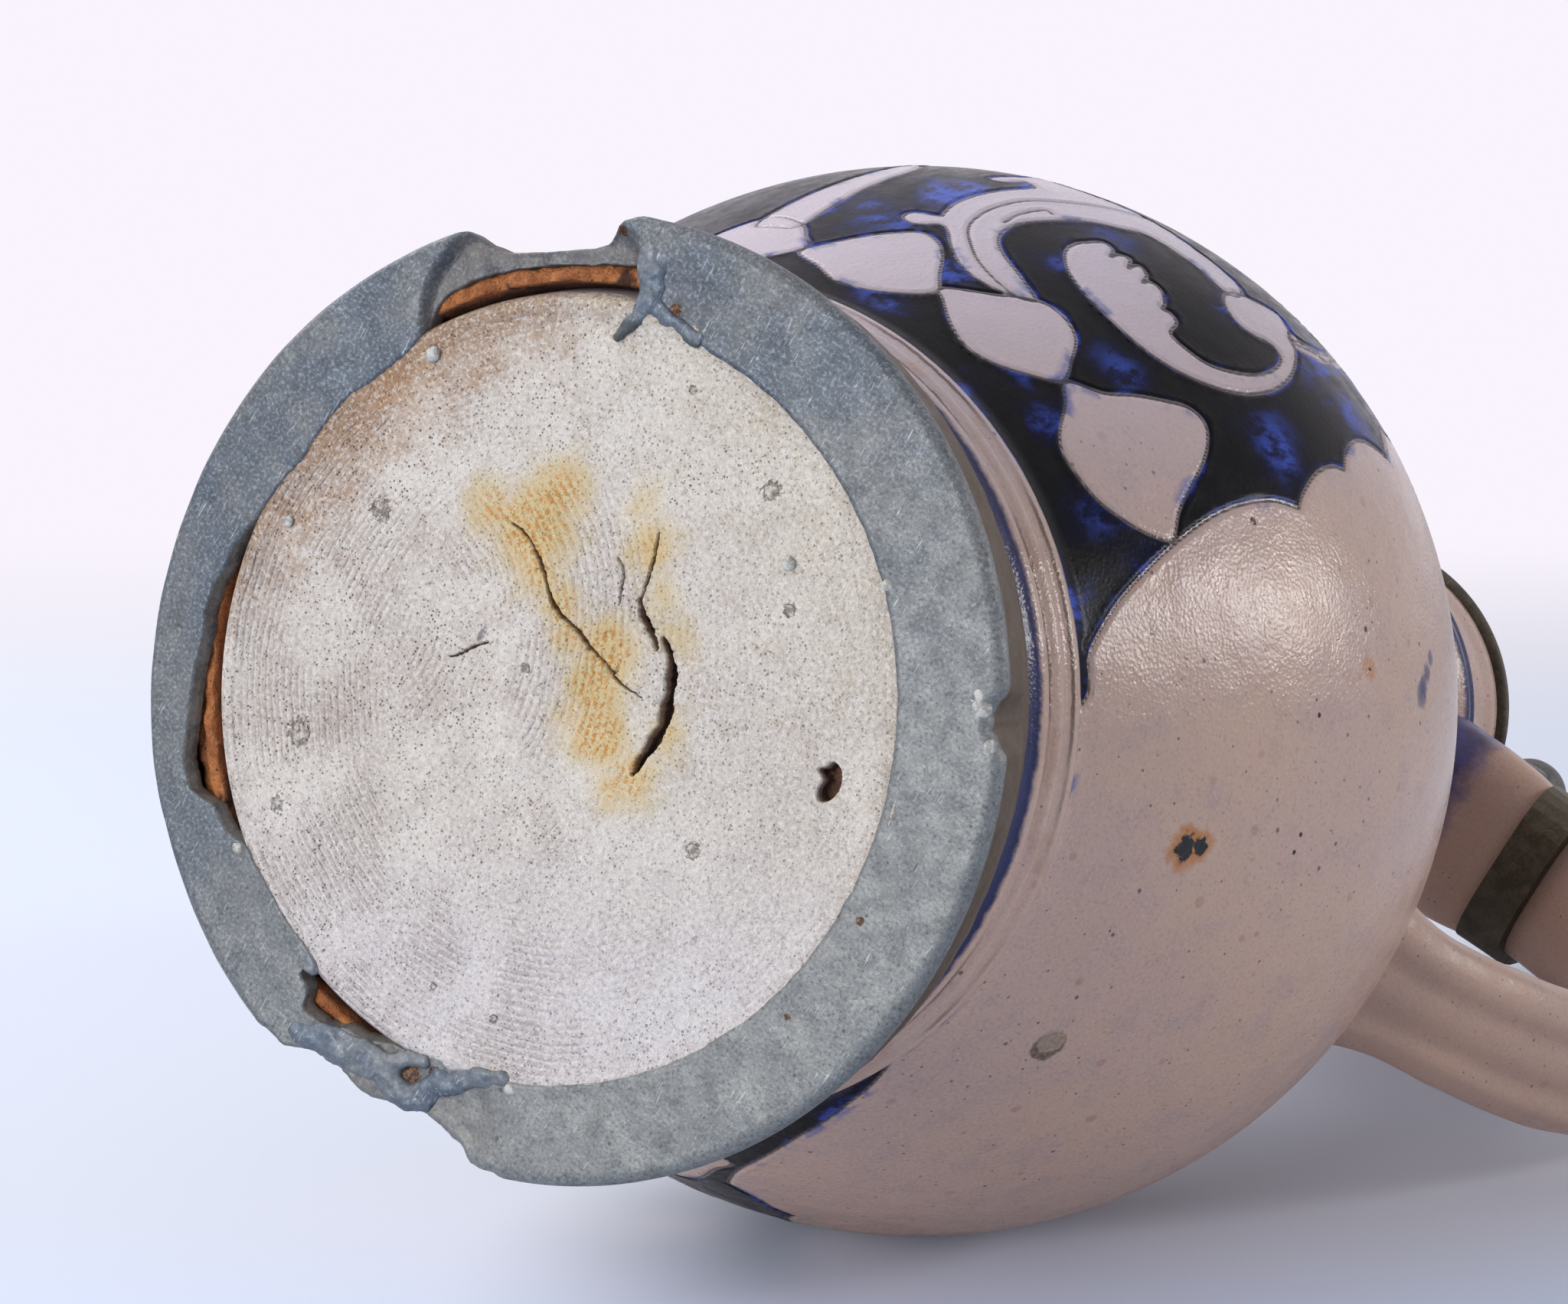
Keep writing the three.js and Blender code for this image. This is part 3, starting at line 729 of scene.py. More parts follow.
def jugBody():
    bm = turned(outsideProfile() + insideProfile(), jug["turnSteps"])
    refine(bm, nearOrnament, 2)
    refine(bm, nearCracks, 3)
    bm.verts.ensure_lookup_table()
    bm.normal_update()
    spots = coordinates(bm)
    reach = np.hypot(*spots[:, :2].T)
    wall = onWall(spots, "drawnOn")
    ground, line = np.full(len(spots), -ornament["far"]), np.full(len(spots), ornament["far"])
    degrees = np.degrees(np.arctan2(spots[wall, 1], spots[wall, 0]))
    ground[wall], line[wall] = ornamentFields(degrees, spots[wall, 2])
    under = underBase(spots, base["rim"])
    crack = np.zeros(len(spots))
    crack[under] = crackDepths(spots[under][:, :2])
    stain = np.zeros(len(spots))
    stain[under] = stains(spots[under][:, :2])
    (deep, half), (high, aside, wide) = ornament["groove"], ornament["burr"]
    incised = high * np.exp(-((line - aside) / wide) ** 2) - deep * np.exp(-(line / half) ** 2)
    for v in bm.verts:
        i = v.index
        if wall[i] and line[i] < 2:
            v.co += v.normal * incised[i]
        elif under[i]:
            lift = (base["hollow"] + uneven(v.co, base["uneven"])) * min(1, (base["rim"] - reach[i]) / 2)
            v.co.z += lift + base["depth"] * crack[i]
    for face in bm.faces:
        middle = face.calc_center_median()
        face.material_index = int(middle.z < base["bareHeight"] and middle.xy.length < base["bareReach"])
    piece = addPiece("jugBody", bm, [saltGlaze(), bareBase()], "jug", "jug_body")
    for name, values in (("ground", ground), ("line", line), ("crack", crack), ("stain", stain)):
        paintValues(piece, name, values)
    print("body", len(piece.data.vertices), "points")


# Finishes

def orangePeel(board, strength=1):  # the skin that salt leaves on a glaze
    dimples = board.cells(0.42, feature="SMOOTH_F1")
    layers = (board.grain(12), 0.5), (board.grain(0.85, 4, 0.7), 0.062), (dimples, 0.05)
    return board.relief(*layers, strength=strength)


def clayCoats(board):
    grain = board.grain(0.5, 3, 0.65)
    board.colour = board.tones(board.grain(30, 3, 0.55).ease(0.38, 0.62), (206, 171, 154), (211, 174, 151))
    board.coat(board.grain(6, 4, 0.6).ease(0.46, 0.7) * 0.4, 184, 157, 152)  # greyer patches
    board.coat(grain.ease(0.45, 0.68) * 0.35, 214, 193, 183)  # pale and dark grains
    board.coat(grain.ease(0.45, 0.28) * 0.35, 146, 121, 110)
    board.coat(board.speckles(4.4, 0.35, 0.17) * 0.35, 168, 110, 92)  # reddish spots
    specks = board.speckles(1.1, 0.2, 0.18).most(board.speckles(2.8, 0.5, 0.1))
    board.coat(specks * 0.75, 70, 54, 46)  # iron


def awayFrom(board, x, y):  # distance in mm from the place on the wall that a pixel shows
    degrees, z = onBelly(x, y)
    turn, reach = math.radians(degrees), radiusAt(z)
    return board.away((reach * math.cos(turn), reach * math.sin(turn), z))


glaze = {
    # pixel, halo and core in mm
    "ironSpots": [(1549, 1108, 3.4, 1.75), (1567, 1105, 2.6, 1.3), (1636, 681, 0.9, 0.55),
                  (1783, 822, 0.7, 0.4), (1788, 874, 1.9, 0.4), (1699, 1090, 0.4, 0.3),
                  (1690, 1113, 0.5, 0.38), (1723, 934, 0.4, 0.36)],
    # pixel, radius in mm
    "blueDrips": [(1857, 907, 2.1), (1859, 895, 1.8), (1864, 878, 1.5), (1868, 860, 1.4)],
    # where the paint is thin enough to show its blue: pixel, reach in mm, strength
    "blueClouds": [(1090, 262, 8, 0.9), (1135, 268, 6, 0.9), (1248, 252, 8, 1), (1800, 468, 8, 1),
                   (1430, 300, 6, 0.6), (1147, 286, 6, 0.9), (1150, 388, 5, 0.8), (1466, 482, 4, 0.7),
                   (1368, 545, 4.5, 0.8), (1712, 486, 6, 0.8), (1676, 589, 7, 0.85), (1761, 540, 7, 1),
                   (1434, 676, 5, 0.55), (1489, 740, 5, 0.6), (1384, 345, 4, 0.7), (1240, 356, 3.5, 0.8)],
    # a flaked place, then its paler middle: pixel, radius in mm, where its edge begins as a share of that
    "scar": [(1368, 1366, 2.5, 0.8), (1372, 1360, 2, 0.85)],
    "blueRings": [(22.9, 1.9, 0.97), (234.6, 2.6, 0.97), (196, 2.2, 0.8)],  # height, half width, strength
    "brownLines": (26.5, 30.4),
    "footRings": (24.4, 32.4),
}


def paintFinish(board, ground, normal):  # cobalt and manganese, thick and nearly black
    drag = board.moved(Rotation=(0.5, 0.3, 0.2), Scale=(1, 1, 0.5))
    cloud = board.grain(12, 3, 0.55, drag, 0.5)
    streaks = board.grain(2.6, 4, 0.7, drag)
    thin = (cloud + ground.ease(2.2, 0) * 0.1).ease(0.56, 0.8)
    for x, y, reach, strength in glaze["blueClouds"]:
        away = awayFrom(board, x, y) + (cloud + streaks * 0.5 - 0.75) * reach * 2.6
        thin = thin.most(away.ease(reach * 1.2, reach * 0.1) * strength)
    edge = ground.ease(1.2, 0.1) * board.grain(9).ease(0.46, 0.6)
    thin = (thin * streaks.ease(0.28, 0.6, 0.45, 1)).most(edge * 0.75)
    cobalt = board.tones((streaks + thin * 0.5).ease(0.6, 1.05), (14, 21, 70), (70, 94, 192))
    dark = board.tones(streaks.ease(0.42, 0.66), (8, 8, 9), (18, 16, 17))
    values = {"Base Color": board.mix(thin, dark, cobalt), "Roughness": streaks.ease(0.3, 0.7, 0.2, 0.34),
              "Specular IOR Level": 0.06, "Normal": normal}
    ringBlue = board.tones(streaks, (10, 18, 56), (34, 48, 110))
    return board.node("ShaderNodeBsdfPrincipled", None, values), ringBlue


def kilnMarks(board, wander, ringBlue):  # iron spots, and blue that dripped
    cores = 0
    for x, y, reach, core in glaze["ironSpots"]:
        away = awayFrom(board, x, y) + wander * reach * 0.9
        board.coat(away.ease(reach, reach * 0.5) * min(0.8, reach * 0.28), 196, 124, 52)
        cores += away.ease(core, core * 0.75)
    board.coat(cores.least(1), 30, 28, 28)
    for x, y, reach in glaze["blueDrips"]:
        away = awayFrom(board, x, y) + wander * reach * 0.9
        board.coat(away.ease(reach, reach * 0.35) * 0.8, ringBlue)


def turnedRings(board, wander, ringBlue):  # blue bands, and the rubbed rings of the foot with brown lines
    up, = board.split("Z")
    for z, width, share in glaze["blueRings"]:
        ring = (up + wander * 0.9 - z).size().ease(width, width * 0.6)
        board.coat(ring * share, ringBlue)
    low, high = glaze["footRings"]
    # the foot's rings are rubbed paler and warmer
    foot = up.ease(low, low + 0.6) * up.ease(high, high - 0.8)
    drawn = board.moved(Scale=(0.12, 0.12, 2.2))
    board.coat(foot * board.grain(2, 3, 0.6, drawn).ease(0.46, 0.7) * 0.6, 206, 178, 160)
    board.coat(foot * board.grain(6).ease(0.54, 0.66) * 0.25, 190, 132, 92)
    for z in glaze["brownLines"]:
        ring = (up + wander * 0.5 - z).size().ease(0.36, 0.1)
        board.coat(ring * board.grain(20).ease(0.36, 0.58) * 0.85, 96, 68, 52)


def saltGlaze():
    board = Board("saltGlaze")
    ground, line = board.attribute("ground"), board.attribute("line")
    wander = board.grain(1.6, 3, 0.6) - 0.5
    painted = (ground + wander * 0.5).ease(-0.05, 0.3)
    peel = orangePeel(board, painted.ease(0, 1, 1, 0.3))
    paint, ringBlue = paintFinish(board, ground, peel)
    clayCoats(board)
    skyLitHeight = board.along(tuple(-c for c in stage["down"]))
    board.coat(skyLitHeight.ease(8, 48) * 0.85, 199, 190, 206)  # painted bluish sky light, greyer and bluer towards the upper side
    kilnMarks(board, wander, ringBlue)
    # the place where a flake has broken off
    scar, flake = ((awayFrom(board, x, y) + wander * 1.3).ease(reach, reach * share)
                   for x, y, reach, share in glaze["scar"])
    crumbs = board.grain(0.5, 3, 0.7)
    board.coat(scar * 0.8, board.tones(crumbs.ease(0.4, 0.6), (62, 48, 36), (128, 104, 80)))
    board.coat(flake * 0.9, board.tones(crumbs.ease(0.4, 0.6), (176, 146, 122), (196, 172, 150)))
    nearby = ground.ease(-1.9, -0.1) * (ground + ornament["far"]).ease(0.5, 2)
    board.coat(board.grain(7, 3, 0.6).ease(0.54, 0.64) * nearby * 0.85, 58, 82, 156)  # blue that bled
    lineHighlight = (line - 0.5).size().ease(0.22, 0.05) * board.grain(6).ease(0.46, 0.62)
    board.coat(lineHighlight * 0.5, 186, 172, 164)  # painted highlight along the edge of an incised line
    board.coat(line.ease(0.34, 0.12) * 0.92, 46, 33, 28)  # painted shade in the incised line
    turnedRings(board, wander, ringBlue)
    rough = board.grain(3.5, 3, 0.6).ease(0.3, 0.7, 0.13, 0.26)
    normal = board.relief((crumbs, 0.5), strength=scar, below=peel)
    board.finish(Roughness=rough, Normal=normal, Specular_IOR_Level=0.36)
    covered = painted * line.ease(0.12, 0.34)
    return board.surface(board.node("ShaderNodeMixShader", None, [covered, board.plain(), paint]))


def wheelMarks(board, x, y, reach):  # rings from turning the base, and arcs from cutting it off
    pixel, pitch = base["fan"]
    wobble = board.grain(9) * 1.4
    marks = ((reach + wobble) * (math.tau / base["wheelPitch"])).wave() * 0.5 + 0.5
    arcs = ((board.away((*onBase(*pixel), 0)) + wobble) * (math.tau / pitch)).wave() * 0.5 + 0.5
    low = (y * 0.8 - x * 0.5).ease(-4, 22) * 0.75 + (y * -0.4 - x).ease(26, 38) * 0.5 + 0.22
    lined = marks * board.grain(11).ease(0.4, 0.6) * reach.ease(14, 26) * low
    aside = board.moved(Location=(40, 9, 3))
    fanned = arcs * board.grain(12, vector=aside).ease(0.46, 0.58) * reach.ease(30, 16) * 0.8
    return lined.most(fanned), arcs


def baseTones(board, x, y, reach, blotch):  # broad differences over the bare clay
    board.colour = board.tones(board.grain(20, 3, 0.55).ease(0.38, 0.62), (222, 213, 202), (210, 200, 189))
    board.coat(blotch.ease(0.46, 0.68) * 0.55, 190, 175, 166)  # greyer patches
    corner = (x * -0.9 - y * 0.36 + blotch * 20).ease(35, 50) * (reach + blotch * 14).ease(32, 46)
    board.coat(corner * 0.9, 164, 118, 66)  # scorched
    worn = (y * -0.8 + x * 0.35 + blotch * 16).ease(20, 44)
    board.coat(worn * 0.6, 214, 204, 184)
    # darker towards the rim, sooner on one side
    darkerRim = (reach + blotch * 5 + x * 0.036 - y * 0.022).ease(41.5, 45)
    board.coat(darkerRim * 0.45, 142, 122, 102)
    cool = (y * 0.8 + x * 0.45 + blotch * 20).ease(18, 42)
    board.coat(cool * 0.6, 216, 210, 214)


def bareBase():
    board = Board("bareBase")
    crack, stain = board.attribute("crack"), board.attribute("stain")
    (x, y), reach = board.split("XY"), board.reach()
    blotch = board.grain(5, 6, 0.72)
    grain = board.grain(0.5, 3, 0.7)
    baseTones(board, x, y, reach, blotch)
    ridges, arcs = wheelMarks(board, x, y, reach)
    board.coat(ridges * 0.5, 172, 150, 140)  # darker along the wheel marks
    peppered = (x.ease(24, -14) + board.grain(15).ease(0.42, 0.6)) * 0.5 + 0.14
    specks = board.speckles(0.4, 0.55, 0.32)
    board.coat(specks * peppered, 112, 78, 54)  # fine and larger specks of iron
    board.coat(board.speckles(1.9, 0.2, 0.09) * 0.7, 76, 60, 52)
    flakes = board.speckles(4.6, 0.4, 0.1, board.moved(Rotation=(0, 0, 0.5), Scale=(1, 0.45, 1)))
    board.coat(flakes * 0.75, 92, 86, 92)  # slanting grey chips
    board.coat(grain.ease(0.49, 0.63) * 0.5, 240, 235, 229)  # pale and dark grains
    board.coat(grain.ease(0.45, 0.34) * 0.42, 150, 132, 120)
    bloom = (stain + (blotch - 0.5) * 1.3).ease(0.05, 0.9)
    board.coat(bloom * 0.6, 220, 192, 104)  # yellow bloom, with rust in the marks
    dashes = board.grain(0.5, 2, 0.6).ease(0.46, 0.54) * (arcs * 0.6 + 0.4) * stain.ease(0.3, 0.85)
    board.coat(bloom * dashes * 0.9, 196, 126, 14)
    pits = 0
    for pitX, pitY, size in base["pits"]:
        away = board.away((*onBase(pitX, pitY), base["hollow"] + 0.2))
        pits += (away + (grain + blotch - 1) * size * 1.6).ease(size, size * 0.6)
    board.coat(pits * board.grain(0.9, 3, 0.6).ease(0.4, 0.6) * 0.75, 104, 88, 72)
    board.coat(crack.ease(0.05, 0.28) * 0.8, 118, 76, 50)  # the edges, the depths darkened as painted shade, and the floor of the cracks
    board.coat(crack.ease(0.34, 0.55) * 0.92, 36, 24, 20)
    board.coat(crack.ease(0.74, 0.88), board.tones(blotch.ease(0.4, 0.6), (66, 42, 28), (112, 76, 52)))
    normal = board.relief((blotch - pits * 0.7, 0.75), (ridges, 0.17), (board.grain(1.6, 5, 0.74), 0.55),
                          (specks.most(flakes), -0.08))
    glassy = board.grain(2.2, 4, 0.7) + (y * 0.5 + x * 0.3).ease(0, 24) * 0.17
    return board.finish(Roughness=glassy.ease(0.44, 0.66, 0.62, 0.22), Normal=normal, Specular_IOR_Level=0.5)


def scratched(board):  # fine scratches in patches, as (direction in radians, width in mm)
    marks = 0
    for turn, width in ((0.4, 0.195), (1.35, 0.225), (-0.8, 0.18), (2.3, 0.21)):
        lined = board.moved(Rotation=(0, 0, turn), Scale=(1, 0.1, 1))
        patch = board.grain(5, 1, vector=board.moved(Location=(turn * 60, 9, 4))).ease(0.54, 0.64)
        marks += board.grain(width, 1, 0.3, lined).ease(0.66, 0.75) * patch
    return marks.least(1)


def pewter(name, tone=1.0, patina=0, foot=False, hanging=False):
    board = Board(name)
    broad = board.grain(15, 4, 0.6)
    blotch = board.grain(2.6, 5, 0.7)
    grain = board.grain(0.42, 3, 0.7)
    metal = lambda *rgb: srgb(*(c * tone for c in rgb))
    board.colour = board.mix(broad.ease(0.4, 0.62), metal(78, 87, 97), metal(98, 101, 103))
    if foot:
        board.coat(paleSideAndSheen(board), metal(123, 125, 123))
    board.coat(blotch.ease(0.45, 0.66) * 0.3, metal(76, 80, 83))  # duller patches
    speckled = 0.35 if hanging else 1  # solder sets smoother
    board.coat(grain.ease(0.5, 0.66) * 0.5 * speckled, metal(150, 157, 162))  # bright and dark grains
    board.coat(grain.ease(0.46, 0.32) * 0.6 * speckled, metal(52, 55, 56))
    board.coat(board.speckles(2.3, 0.35, 0.12) * 0.7, metal(58, 56, 52))  # pits
    scratches = scratched(board)
    board.coat(scratches * 0.36, metal(186, 192, 196))
    if foot:
        skirtMarks(board, blotch, grain)
    if hanging:
        board.coat(board.reach().ease(41.4, 40) * 0.7, 62, 65, 60)  # darker where it hangs over the clay
    if patina:
        board.coat(patina, board.tones(blotch.ease(0.4, 0.6), (62, 51, 28), (86, 74, 48)))
    rough = blotch.ease(0.3, 0.7, 0.42, 0.6) - scratches * 0.12
    normal = board.relief((board.grain(9, 3), 0.6), (blotch, 0.16), (grain, 0.04), (scratches, -0.02))
    return board.finish(Roughness=rough, Metallic=broad.ease(0.3, 0.7, 0.55, 0.35), Normal=normal)


def paleSideAndSheen(board):  # paler towards the handle side: partly the metal's own tone, partly painted reflection
    x, y = board.split("XY")
    return (x + y * 0.55 + board.grain(8, 3, 0.6) * 16 - 8).ease(-30, 42)


def skirtMarks(board, blotch, grain):  # dull torn edges, painted shade on the wall, and holes burnt by the solder
    dull = board.tones(blotch.ease(0.4, 0.6), (84, 76, 68), (128, 120, 110))
    board.coat(board.attribute("torn") * 0.6, dull)
    # painted shade: the wall above the flange darker and browner
    board.coat(board.split("Z")[0].ease(1.6, 4.5) * 0.95, 78, 63, 42)
    for x, y, size in skirt["burnt"]:
        away = board.away((*onBase(x, y), skirt["level"] * 2))
        hole = (away + (blotch - 0.5) * size * 1.5).ease(size, size * 0.75)
        board.coat(hole * 0.95, board.tones(grain.ease(0.45, 0.6), (44, 30, 20), (120, 82, 52)))


def puttyFinish():
    board = Board("beddingPutty")
    blotch = board.grain(2.4, 4, 0.7)
    board.colour = board.tones(blotch.ease(0.36, 0.62), (206, 132, 78), (160, 96, 54))
    board.coat(board.grain(5, 3, 0.6).ease(0.6, 0.7), 70, 40, 26)  # dark patches
    board.coat(board.speckles(1.6, 0.4, 0.14) * 0.9, 34, 20, 14)  # dark and pale specks
    board.coat(board.speckles(1.3, 0.3, 0.2) * 0.5, 226, 176, 128)
    board.coat((board.reach() + blotch * 0.8).ease(44.9, 44.5) * 0.9, 38, 24, 16)  # painted shade in the gap beside the foot
    return board.finish(Roughness=0.9, Normal=board.relief((board.grain(1.1, 4, 0.75), 0.8), (blotch, 0.9)))


# Pewter foot skirt: turned, bent out of true, then torn along the edges that the photograph shows

skirt = {
    "radius": 52,
    "inner": 41.3,
    "steps": 540,
    "flangeCells": 20,
    "thickness": 1.9,
    "top": (46.5, 20),
    "waist": (50.1, 10.9),
    "lean": (0.25, 0.25),
    # torn edges, pixel by pixel
    "innerTear": [(930, 466), (904, 444), (880, 425), (856, 390), (842, 352), (812, 344), (761, 343),
                  (710, 344), (649, 351), (608, 362), (572, 382), (556, 405), (550, 436), (526, 464),
                  (486, 495), (455, 515), (419, 556), (394, 597), (352, 646), (329, 678), (303, 709),
                  (290, 738), (274, 766), (263, 801), (264, 818), (246, 898), (241, 944), (235, 990),
                  (243, 1030), (275, 1053), (292, 1088), (318, 1105), (340, 1145), (372, 1203),
                  (405, 1246), (386, 1268), (398, 1294), (389, 1317), (415, 1340), (447, 1346),
                  (461, 1357), (510, 1366), (560, 1394)],
    "outerTop": [(590, 304), (602, 300), (612, 306), (624, 318), (640, 325), (660, 327), (710, 326),
                 (761, 321), (780, 317), (790, 311), (797, 301), (803, 292), (812, 285), (830, 281),
                 (853, 283)],
    "outerBelow": [(332, 1334), (363, 1366), (395, 1372), (429, 1389), (452, 1418), (470, 1435),
                   (516, 1444), (544, 1455), (567, 1472), (596, 1500), (606, 1520), (623, 1530),
                   (650, 1538)],
    # the stretch where the flange has melted away, its ends at the outer and at the inner edge
    "missing": [(600, 300), (806, 290)],
    "missingInner": [(540, 445), (848, 356)],
    "missingLift": 1.7,
    "level": 0.4,  # flange above the lowest lumps, mm
    "lobe": (1.1, 0.84, -0.55),  # the flange's inner edge lies this much further in, towards this direction
    # pixel, reach and depth in mm
    "hollow": [(470, 1400, 8.5, 0.75), (600, 1450, 5, 0.5), (880, 400, 4.5, 0.3)],
    "notch": [(1306, 945, 2.6, 1.8)],
    "burnt": [(528, 1403, 1.7), (563, 1401, 0.7), (879, 405, 1), (806, 303, 1.1), (1026, 1328, 0.7),
              (1121, 1203, 0.7)],
}


def leaned(z):
    share = 1 - z / skirt["top"][1]
    return Vector(skirt["lean"]) * share


def roundSkirt(pixels):  # pixels as rising (turn, reach) about the bent edge's own centre
    rows = []
    for x, y in pixels:
        spot = Vector(onBase(x, y)) - leaned(0)
        rows.append((math.atan2(spot.y, spot.x) % math.tau, spot.length))
    return np.array(sorted(rows)).T


def eased(value, low, high):
    share = min(max((value - low) / (high - low), 0), 1)
    return share * share * (3 - 2 * share)


def tornReach(turn, tear, whole, ragged):  # reach of a torn edge, which runs into the whole one at both ends
    turns, reaches = tear
    if not turns[0] < turn < turns[-1]:
        return whole
    ends = eased(min(turn - turns[0], turns[-1] - turn) * skirt["radius"], 0, 1.5)
    return whole + (np.interp(turn, turns, reaches) + ragged - whole) * ends


def skirtOutline():
    inner, outer, metal = skirt["inner"], skirt["radius"], skirt["thickness"]
    (topR, topZ), (waistR, waistZ) = skirt["top"], skirt["waist"]
    cells = skirt["flangeCells"]
    flange = [(inner + (outer - 1.2 - inner) * i / cells, 0.0) for i in range(cells + 1)]
    edge = [(outer - 0.6, 0.15), (outer - 0.15, 0.6), (outer, 1.2), (outer, 2), (outer - 0.3, 2.7),
            (outer - 0.75, 3.6)]
    outerWall = [(outer - 1.05, 5.5), (outer - 1.2, 8), (waistR, waistZ), (waistR - 1.1, 13.5),
                 (waistR - 2.1, 16), (waistR - 2.9, 18), (topR + 0.45, topZ - 0.8), (topR + 0.2, topZ - 0.1),
                 (topR - 0.4, topZ)]
    innerWall = [(topR - 0.8, topZ - 0.2), (topR - 0.7, topZ - 2), (waistR - 3.4, 15.5),
                 (waistR - 2.2, waistZ), (waistR - 1.9, 6), (outer - 3.2, metal + 0.9), (outer - 3.8, metal)]
    back = [(inner + (outer - 4.4 - inner) * i / 6, metal) for i in range(6, 0, -1)]
    lip = [(inner - 1.3, metal - 0.05), (inner - 1.45, metal - 0.35), (inner - 0.9, 1), (inner - 0.3, 0.35)]
    return flange + edge + outerWall + innerWall + back + lip


def tornEdges(turn, way, coarse, fine, tears, notches):  # reach of the flange's two edges
    inner, outer = skirt["inner"], skirt["radius"]
    lobe, lobeX, lobeY = skirt["lobe"]
    worn = 0.14 * coarse + 0.08 * fine - lobe * max(0, way.x * lobeX + way.y * lobeY) ** 0.7
    newInner = tornReach(turn, tears[0], inner + worn, 0.2 * fine)
    newOuter = tornReach(turn, tears[1], tornReach(turn, tears[2], outer, 0.15 * fine), 0.1 * fine)
    newOuter = min(newOuter, outer + 0.15)
    for place, size, deep in notches:
        newOuter -= deep * math.exp(-((turn - place) * outer / size) ** 4) * (1 + 0.5 * fine)
    return newInner, newOuter


def footSkirt():
    inner, outer = skirt["inner"], skirt["radius"]
    bm = turned(skirtOutline(), skirt["steps"], closed=True)
    tears = [roundSkirt(skirt[name]) for name in ("innerTear", "outerTop", "outerBelow")]
    missing, missingInner = roundSkirt(skirt["missing"])[0], roundSkirt(skirt["missingInner"])[0]
    hollows = [(Vector(onBase(x, y)), size, deep) for x, y, size, deep in skirt["hollow"]]
    notches = [(roundSkirt([(x, y)])[0][0], size, deep) for x, y, size, deep in skirt["notch"]]
    torn = []
    for v in bm.verts:
        turn, reach, z = math.atan2(v.co.y, v.co.x) % math.tau, math.hypot(*v.co.xy), v.co.z
        way = Vector((math.cos(turn), math.sin(turn)))
        coarse = noise.noise((way.x * 22, way.y * 22, 3))
        fine = noise.noise((way.x * 60, way.y * 60, 7))
        newInner, newOuter = tornEdges(turn, way, coarse, fine, tears, notches)
        share = min(max((reach - inner) / (outer - inner), 0), 1)
        start, end = (missingInner[k] + (missing[k] - missingInner[k]) * share for k in (0, 1))
        gone = min(max((min(turn - start, end - turn) * outer + 0.5 * fine) / 2.2, 0), 1)
        below = 1 - eased(z, 2.2, 5)
        tear = eased(newInner - inner, 0.6, 1.6) * (1 - 0.7 * gone)
        slope = max(inner - reach, 0)
        reach += (newInner - inner) * (1 - share) * below + slope * (0.9 - 0.45 * tear)
        reach += (newOuter - outer) * share * (1 - eased(z, 6, 18))
        bend = 0.12 * noise.noise((way.x * 2.2, way.y * 2.2, 1)) * (0.5 + share)
        dent = 0.14 * noise.noise((v.co.x / 5, v.co.y / 5, 11))
        lift = skirt["missingLift"] * gone * (1 + 0.3 * coarse)
        v.co.xy = way * (reach + 0.12 * coarse * (1 - below))
        v.co.xy += leaned(z)
        pitted = sum(math.exp(-((v.co.xy - spot).length / size) ** 4) * deep for spot, size, deep in hollows)
        rugged = sum(height * noise.noise((v.co.x / size, v.co.y / size, place))
                     for height, size, place in ((0.55, 1.7, 2), (0.3, 0.8, 4)))
        v.co.z = max(0.02, z + (lift + bend + dent + skirt["level"] + pitted * (1 + rugged)) * below)
        torn.append(min(1, max(tear * (slope > 0.1), pitted * 0.7, gone * 0.6) * below))
    bmesh.ops.recalc_face_normals(bm, faces=bm.faces)
    piece = addPiece("footSkirt", bm, [pewter("skirtPewter", foot=True)], "jug", "foot_skirt")
    paintValues(piece, "torn", torn)
    print("skirt made")


# Putty between the skirt and the foot

bedding = {
    "inner": 43.5,
    "outer": 47.2,
    "under": 2.3,
    "top": 15,
    "steps": 720,
    "uneven": ((0.55, 3), (0.35, 1.1)),
}


def footBedding():
    inner, outer, low, top = (bedding[name] for name in ("inner", "outer", "under", "top"))
    outline = [(inner, 10), (inner + 0.5, 9), (inner + 0.72, 4.5), (inner + 0.8, 3)]
    outline += [(inner + 0.9 + (outer - inner - 0.9) * i / 9, low) for i in range(10)]
    outline += [(outer + 0.3, 7.5), (outer - 0.1, 12), (outer - 1.4, top), (45.4, top), (45.1, 13)]
    bm = turned(outline, bedding["steps"], closed=True)
    for v in bm.verts:
        if v.co.z < 4.5:
            rough = uneven(v.co, bedding["uneven"])
            far = eased(v.co.xy.length, 45.4, 46.4)  # further out it keeps behind the skirt
            v.co.z += rough * (1 - far) + (0.8 + abs(rough)) * far
            v.co.xy *= 1 + 0.008 * noise.noise(v.co / 2)
    addPiece("footBedding", bm, [puttyFinish()], "jug", "foot_bedding")
    print("putty made")


# Solder that ran when the skirt was mended, and grit stuck to it

